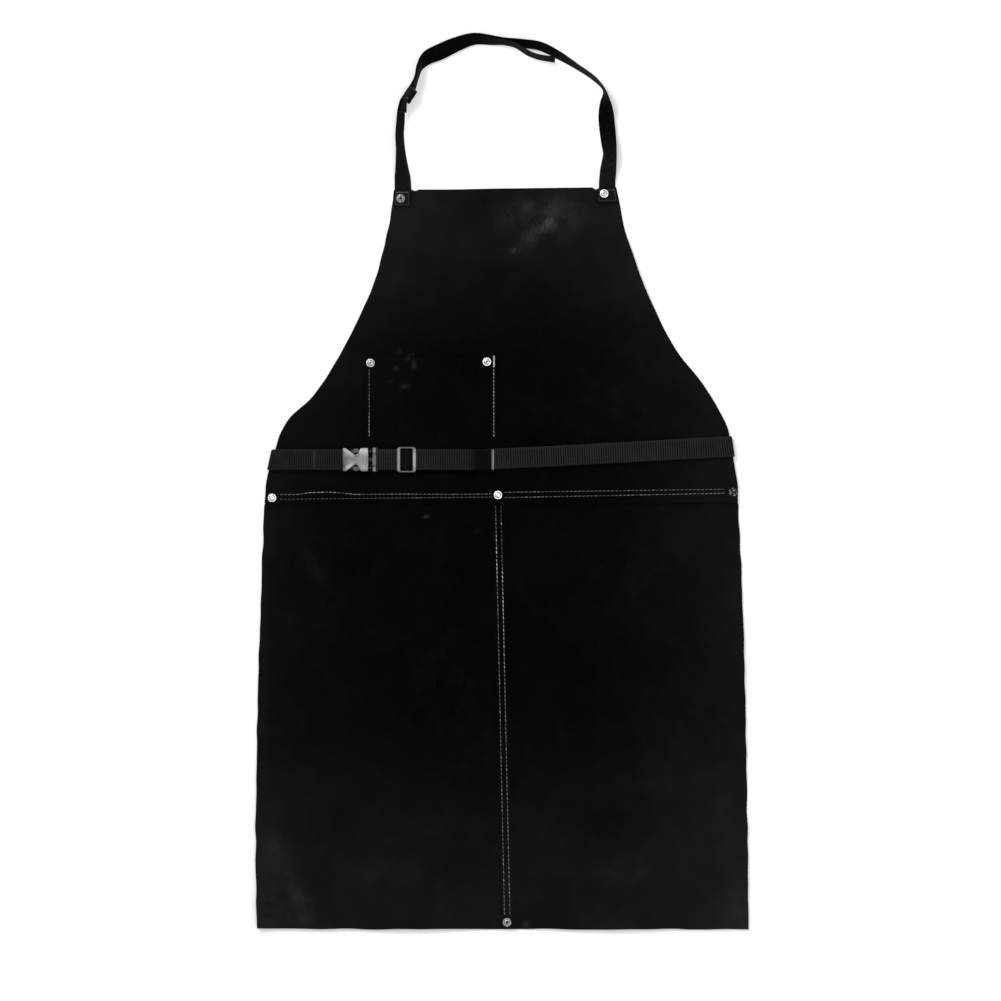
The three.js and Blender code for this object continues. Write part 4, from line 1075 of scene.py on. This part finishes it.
def buckle_female(x, y, z):
    crown = 4.2 - 0.5 * (y / 14.3) ** 2 - 0.3 * ease(x, -189, -196) - 0.25 * ease(x, -168, -162)
    body = rounded(FEMALE_PLAN(x, y) + 1.7, np.abs(z) - crown + 1.7) - 1.7
    body = carve(body, slab(FEMALE_DISH(x, y), np.abs(z), 3.95, 9, 0.3), 0.5)
    body = carve(body, block(x, y, z, (-200, -150), (-12.9, 12.9), (-2.9, 2.9), 0.3, 0.4), 0.25)
    mouth = np.maximum(rectangle(-163.4, -150, -13.2, 13.2)(x, y), np.abs(z) - 3.3)
    bar = block(x, y, z, (-194.3, -191.9), (-13.8, 13.8), (-1.2, 1.2), 0.6, 0.8)
    return merge(carve(body, mouth, 0.5), bar, 0.4)


def buckle_male(x, y, z):
    grip = block(x, y, z, (-158.4, -153.7), (-14.8, 14.8), (-4.2, 4.2), 1.4, 1.2)
    grip = carve(grip, block(x, y, np.abs(z), (-160, -152), (-6.4, 6.4), (3.6, 6), 0.8, 0.3), 0.3)
    grip = carve(grip, block(x, y, z, (-156.9, -140), (-12.9, 12.9), (-2.9, 2.9), 0.3, 0.4), 0.25)
    tongue = block(x, y, z, (-187, -157.9), (-2.4, 2.4), (-2.4, 2.4), 1.0, 0.7)
    rib = block(x, y, np.abs(z), (-185, -160), (-0.7, 0.7), (2.0, 2.7), 0.3, 0.3)
    bar = block(x, y, z, (-153.9, -151.5), (-14.2, 14.2), (-1.2, 1.2), 0.6, 0.8)
    rails = block(x, np.abs(y), z, (-154.4, -151.5), (12.9, 14.4), (-1.8, 1.8), 0.5, 0.6)
    return merge(merge(merge(merge(grip, tongue, 0.8), rib, 0.3), rails, 0.6), bar, 0.5)


ARM_PLAN = [(-158.7, 8.4), (-158.7, 11.6), (-166, 11.9), (-172, 11.4), (-174.9, 11.6), (-174.9, 13.3), (-177, 13.9),
    (-181, 13.4), (-186, 10.6), (-188.4, 8.6), (-186.5, 7.6), (-180, 8.2), (-168, 8.8)]
ARM = polygon(ARM_PLAN, 1)


def release_arm(x, y, z):
    arm = slab(ARM(x, np.abs(y)), z, -2.4, 2.4, 0.7)
    for gx in (-182.4, -180.6, -178.8, -177.0):  # grip ridges on the head
        groove = np.hypot(x - gx, np.abs(y) - (14.3 - 0.5 * abs(gx + 178) * 0.5)) - 0.42
        arm = carve(arm, groove + 0 * z, 0.3)
    return arm


def belt_slider(x, y, z):
    """z is from the belt's ground. The strap runs under the end bars and over the sunk centre bar."""
    x0, x1 = -128.7, -105.1
    frame = block(x, y, z, (x0, x1), (-15.6, 15.6), (6.9, 13.3), 3.6, 1.2)
    frame = carve(frame, rectangle(x0 + 4.3, x1 - 4.3, -13.6, 13.6, 1.4)(x, y) + 0 * z, 0.7)
    frame = carve(frame, np.maximum(rectangle(x0 - 3, x1 + 3, -13.3, 13.3)(x, y), z - 11.4), 0.4)
    return merge(frame, block(x, y, z, (-118.9, -114.9), (-13.8, 13.8), (6.9, 8.1), 0.8, 0.55), 0.4)


def hardware(name, sdf, low, high, step, material, body, replaces, slot="buckle_plastic", lifted=BUCKLE_Z,
        deep=None, pale=None):
    """A moulded part. The last two arguments give, from 0 to 1, how far each point's colour is darkened with painted
    shade and lightened with a painted highlight.
    """
    points, faces = moulded(sdf, low, high, step)
    layers = {key: 0 * points[:, 0] if at is None else np.clip(at(*points.T), 0, 1) for key,
        at in (("deep", deep), ("pale", pale))}
    make(name, points + [0, BELT_Y, lifted], faces, material, body, slot=slot, replaces=(replaces,), **layers)


# Painted shade on the female: inside its socket, in its dish, at its lower left corner and along its left edge.
def female_shade(x, y, z):
    inside = 0.9 * ease(np.abs(z), 2.95, 2.6) * ease(np.abs(y), 13.2, 12.8)
    hollow = 0.45 * np.exp(-((x + 191.5) / 3.5) ** 2 - ((y + 1) / 7) ** 2) + 0.25 * np.exp(-((x + 183) / 5) ** 2
        - ((y - 1.5) / 3.5) ** 2)
    corner = 0.6 * ease(x, -188.5, -192) * ease(y, 5, -9)
    return np.maximum(np.maximum(inside, hollow), corner) + 0.25 * ease(x, -192.5, -195)


def female_highlight(x, y, z):
    """Painted highlights on the edges that catch the light: the block's top, and the slopes down to the waist."""
    block = ease(x, -176, -172) * ease(y, 3, 11) * 0.75
    upper = bell(y - (12.5 + (x + 193) * -0.62), 2.4) * ease(x, -178, -184) * 0.75 * (y > 0)
    lower = bell(y + 9.6 + (x + 188) * -0.55, 3.0) * ease(x, -178, -186) * 0.8 * (y < 0)
    return np.maximum(np.maximum(block, upper), lower) + 0.25 * ease(x, -176, -170) * ease(y, -2, -9)


# Painted shade on the male: its tongue and rails, which lie in the gap between the halves, its grip's sunk middle,
# and a little all over.
def male_shade(x, y, z):
    tongue = ease(x, -158.2, -159.2)
    rails = ease(x, -154.0, -153.2)
    middle = 0.12 + 0.38 * ease(np.abs(y), 8.6, 7.8) + 0.8 * bell(np.abs(y) - 8.6, 0.5)
    return np.clip(np.maximum(np.maximum(tongue, rails), middle), 0, 1) * 0.97


# Painted shade on the release arms: all of each arm is darkened, most where it lies inside the female.
def arm_shade(x, y, z):
    return np.where(x > -171, 0.99, 0.62 + 0.35 * ease(x, -180, -183))


hardware("buckle_female_shell", buckle_female, (-195.2, -14.5, -4.3), (-162.4, 14.5, 4.3), 0.4, BUCKLE_PLASTIC,
    "apron", "buckle_female", deep=female_shade, pale=female_highlight)
hardware("buckle_male_plate", buckle_male, (-187.2, -15, -4.3), (-151.2, 15, 4.3), 0.4, BUCKLE_PLASTIC,
    "buckle_end", "buckle_male", deep=male_shade)
for arm, y0, y1 in (("release_arm_upper", 7.4, 14.1), ("release_arm_lower", -14.1, -7.4)):
    hardware(f"{arm}_moulding", release_arm, (-188.6, y0, -2.5), (-158.5, y1, 2.5), 0.3, BUCKLE_PLASTIC, arm, arm,
        deep=arm_shade)
# The slider's painted shade darkens its top and bottom bars and, most, its centre bar under the strap; its painted
# highlight lightens its right bar.
hardware("belt_slider_frame", belt_slider, (-128.9, -15.8, 6.7), (-104.9, 15.8, 13.5), 0.38, SLIDER_PLASTIC,
    "belt_slider", "belt_slider", "slider_plastic", lifted=0, deep=lambda x, y,
    z: 0.35 * ease(abs(y), 12.8, 13.8) + 0.85 * ease(abs(x - SLIDER_X), 6, 4) * (z < 8.5), pale=lambda x, y,
    z: 0.3 * ease(x, -110.5, -108) * ease(abs(y), 11, 6))

# ---- neck strap

SLIDER_AT = np.array([-115.5, 1016.5])
SLIDER_WAY = np.array([0.55, 0.835]) / math.hypot(0.55, 0.835)


def on_slider(distance):
    x, y = SLIDER_AT + SLIDER_WAY * distance
    return (x, y, 74, 3.2)


TAB_ROUTE = [(-121.5, 906.6, 0, 1.8), (-121.6, 912, 8, 1.9), (-122.2, 926, 36, 1.4), (-123.4, 948, 55, 1),
    (-124.6, 968, 59, 1), (-123.6, 984, 60, 1.6), (-122.4, 997, 63, 2.6), on_slider(-9.2), on_slider(-5.2)]
STRAP_ROUTE = [on_slider(0.5), on_slider(6), on_slider(12), (-104.6, 1038, 80, 2), (-100.8, 1051, 70, 1.2),
    (-92, 1062, 42, 1.2), (-76, 1069.8, 22, 1), (-56.7, 1078.5, 36, 1), (-34.8, 1085.2, 52, 1),
    (-12.8, 1083.6, 62, 0.8), (1.8, 1082.1, 70, 0.8), (23.8, 1079, 62, 0.9), (45.8, 1075.5, 61, 0.9),
    (67.7, 1064.8, 64, 0.9), (89.7, 1051, 74, 0.9), (111.6, 1035.8, 78, 0.9), (123.4, 1022, 82, 0.9),
    (125.4, 1006, 46, 0.9), (126.6, 987, 14, 0.9), (128.8, 965, 18, 0.9), (130.4, 945, 34, 0.9),
    (128.8, 926, 12, 1.5), (127.7, 912, 1, 1.9), (127.6, 906.6, 0, 1.8)]
TAIL_ROUTE = [(31, 1068, 75, 0), (38.4, 1064.8, 75, 0), (46, 1062.6, 74, 0), (54.6, 1061.2, 73, 0),
    (64.2, 1059.8, 72, 0)]
TAIL_LEAVES = 10 / 23  # the share of the route where the free tail lies on the strap


def stations(route, t):
    """Centre points, width directions and normals along a route of (x, y, roll in degrees, lift)."""
    route = np.asarray(route, float)
    roll = np.radians(route[:, 2])
    height = NECK_WIDTH / 2 * np.sin(roll) + WEBBING / 2 * np.cos(roll) + 0.3 + route[:, 3]
    points = np.column_stack([route[:, :2], height])
    along = unit(spline(points, t + 1e-4, True) - spline(points, t - 1e-4, True))
    roll = np.radians(spline(route[:, 2:3], t))
    across = unit(np.stack([-along[:, 1], along[:, 0], 0 * along[:, 0]], -1))
    side = across * np.cos(roll) + np.sin(roll) * [0, 0, 1]
    side = unit(side - (side * along).sum(1)[:, None] * along)
    return spline(points, t, centripetal=True), side, np.cross(along, side)


def layer_distance(i, total):
    return 2 * NECK_LOOP + (1.6 - 2 * NECK_LOOP) * ease(i * total, 3, 11)


def slider_frame():
    place, side, normal = stations([on_slider(-1), on_slider(0), on_slider(1)], np.array([0.5]))
    return place[0], np.cross(side[0], normal[0]), side[0], normal[0]


CENTRE, ALONG, SIDE, NORMAL = slider_frame()


def bar_turn(x, start, stop):
    turn = arc(x, 0, NECK_LOOP, start, stop)
    return np.array([CENTRE + ALONG * a + NORMAL * c for a, c in turn]), np.tile(SIDE, (len(turn), 1))


def neck_soot(x, y, z):
    """The strap is near black where it goes round the neck, and greyer near its sewn ends."""
    return np.clip(0.25 + 0.7 * ease(y, 925, 985) - 0.12 * ripple(x, y, 9, 22), 0, 0.96)


def join_neck(name, parts, seed, replaces):
    """Webbing through stretches of (path, width direction)."""
    path, across = (np.concatenate([np.broadcast_to(part[i], np.shape(part[0])) for part in parts]) for i in (0, 1))
    piece = ribbon(name, path, across, **NECK, seed=seed, soot=neck_soot, replaces=replaces)
    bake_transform(piece)


def neck_tab():
    t = np.linspace(0, 1, 200)
    place, side, normal = stations(TAB_ROUTE, t)
    gap = layer_distance(1 - t, 30)[:, None] / 2
    outer = place - normal * gap
    back = t > 1 - 8 / 30
    end = [(STRAP_X["left"], y, 2.7) for y in (884, 890, 896, 902)]
    join_neck("neck_tab_webbing", [(end, (-1.0, 0, 0)), (outer[2:], side[2:]), bar_turn(-5.2, -90, 90),
        ((place + normal * gap)[back][::-1], side[back][::-1])], 11, ("neck_tab", "neck_strap_end_left"))


def neck_strap():
    t = np.linspace(0, 1, 700)
    place, side, normal = stations(STRAP_ROUTE, t)
    gap = layer_distance(t, 84)[:, None] / 2
    main = place - normal * gap
    together = t <= TAIL_LEAVES
    laid, laid_side = (place + normal * gap)[together], side[together]
    x, y, _ = laid[-1]
    tail, tail_side, _ = stations([(x, y, 72, 0.4), (16, 1077.6, 74, 0), *TAIL_ROUTE], np.linspace(0, 1, 80)[2:])
    end = [(STRAP_X["right"], y, 2.7) for y in (903, 898, 893, 888)]
    join_neck("neck_strap_webbing", [(tail[::-1], tail_side[::-1]), (laid[::-1], laid_side[::-1]),
        bar_turn(-0.5, 90, 270), (main[:-2], side[:-2]), (end, (1.0, 0, 0))], 12,
        ("neck_strap", "neck_strap_end_right"))


def neck_slider(x, y, z):
    over = NECK_LOOP + 0.9
    rails = block(x, np.abs(y), z, (-7.7, 10.5), (10.3, 12.5), (-0.8, over + 1.7), 1.0, 0.7)
    for x0, x1, z0, z1, fillet in ((-7.7, -5.2, -0.7, 0.7, 0.55), (-3.2, 2.5, -0.7, 0.7, 0.55),
            (8, 10.5, over, over + 1.6, 0.6)):
        rails = merge(rails, block(x, y, z, (x0, x1), (-12.2, 12.2), (z0, z1), 0.6, fillet), 0.6)
    return rails


neck_tab()
neck_strap()
points, faces = moulded(neck_slider, (-7.9, -12.7, -1), (10.7, 12.7, 4.4), 0.3)
make("neck_slider_frame", CENTRE + points @ np.array([ALONG, SIDE, NORMAL]), faces, BLACK_PLASTIC, "neck_loop",
    slot="slider_plastic", replaces=("neck_slider",), deep=0 * points[:, 0], pale=0 * points[:, 0])

# ---- floor, light and camera

floor_points = [(x, y, -0.4) for x, y in ((-6000, -6000), (6000, -6000), (6000, 6000), (-6000, 6000))]
make("studio_floor", floor_points, [[0, 1, 2, 3]], floor_paper())


def lamp(name, at, size, power):
    data = bpy.data.lights.new(name, "AREA")
    data.shape, data.size, data.size_y, data.energy = "RECTANGLE", *size, power
    piece = bpy.data.objects.new(name, data)
    piece.location = at
    piece.rotation_mode = "QUATERNION"
    piece.rotation_quaternion = (-Vector(at)).to_track_quat("-Z", "Y")
    piece.visible_camera = False
    bpy.context.scene.collection.objects.link(piece)


lamp("key", (-1.5, 1.9, 2.6), (1.2, 0.9), 66)
lamp("fill", (2.2, -1.2, 2.4), (1.6, 1.6), 20)
lamp("top", (0.2, 0.3, 3.4), (1.6, 1.6), 30)

world = bpy.data.worlds.new("studio")
world.use_nodes = True
sky = world.node_tree.nodes["Background"].inputs
sky["Color"].default_value, sky["Strength"].default_value = (0.95, 0.96, 1.0, 1), 0.62
bpy.context.scene.world = world
bpy.context.scene.view_settings.view_transform = "Standard"

LENS, SENSOR, ACROSS = 200, 36, 1.2212
camera = bpy.data.cameras.new("camera")
camera.lens, camera.sensor_width, camera.clip_end = LENS, SENSOR, 50
eye = bpy.data.objects.new("camera", camera)
eye.location = (-0.0019, -0.0234, ACROSS * LENS / SENSOR)
bpy.context.scene.collection.objects.link(eye)
bpy.context.scene.camera = eye

bpy.context.view_layer.update()
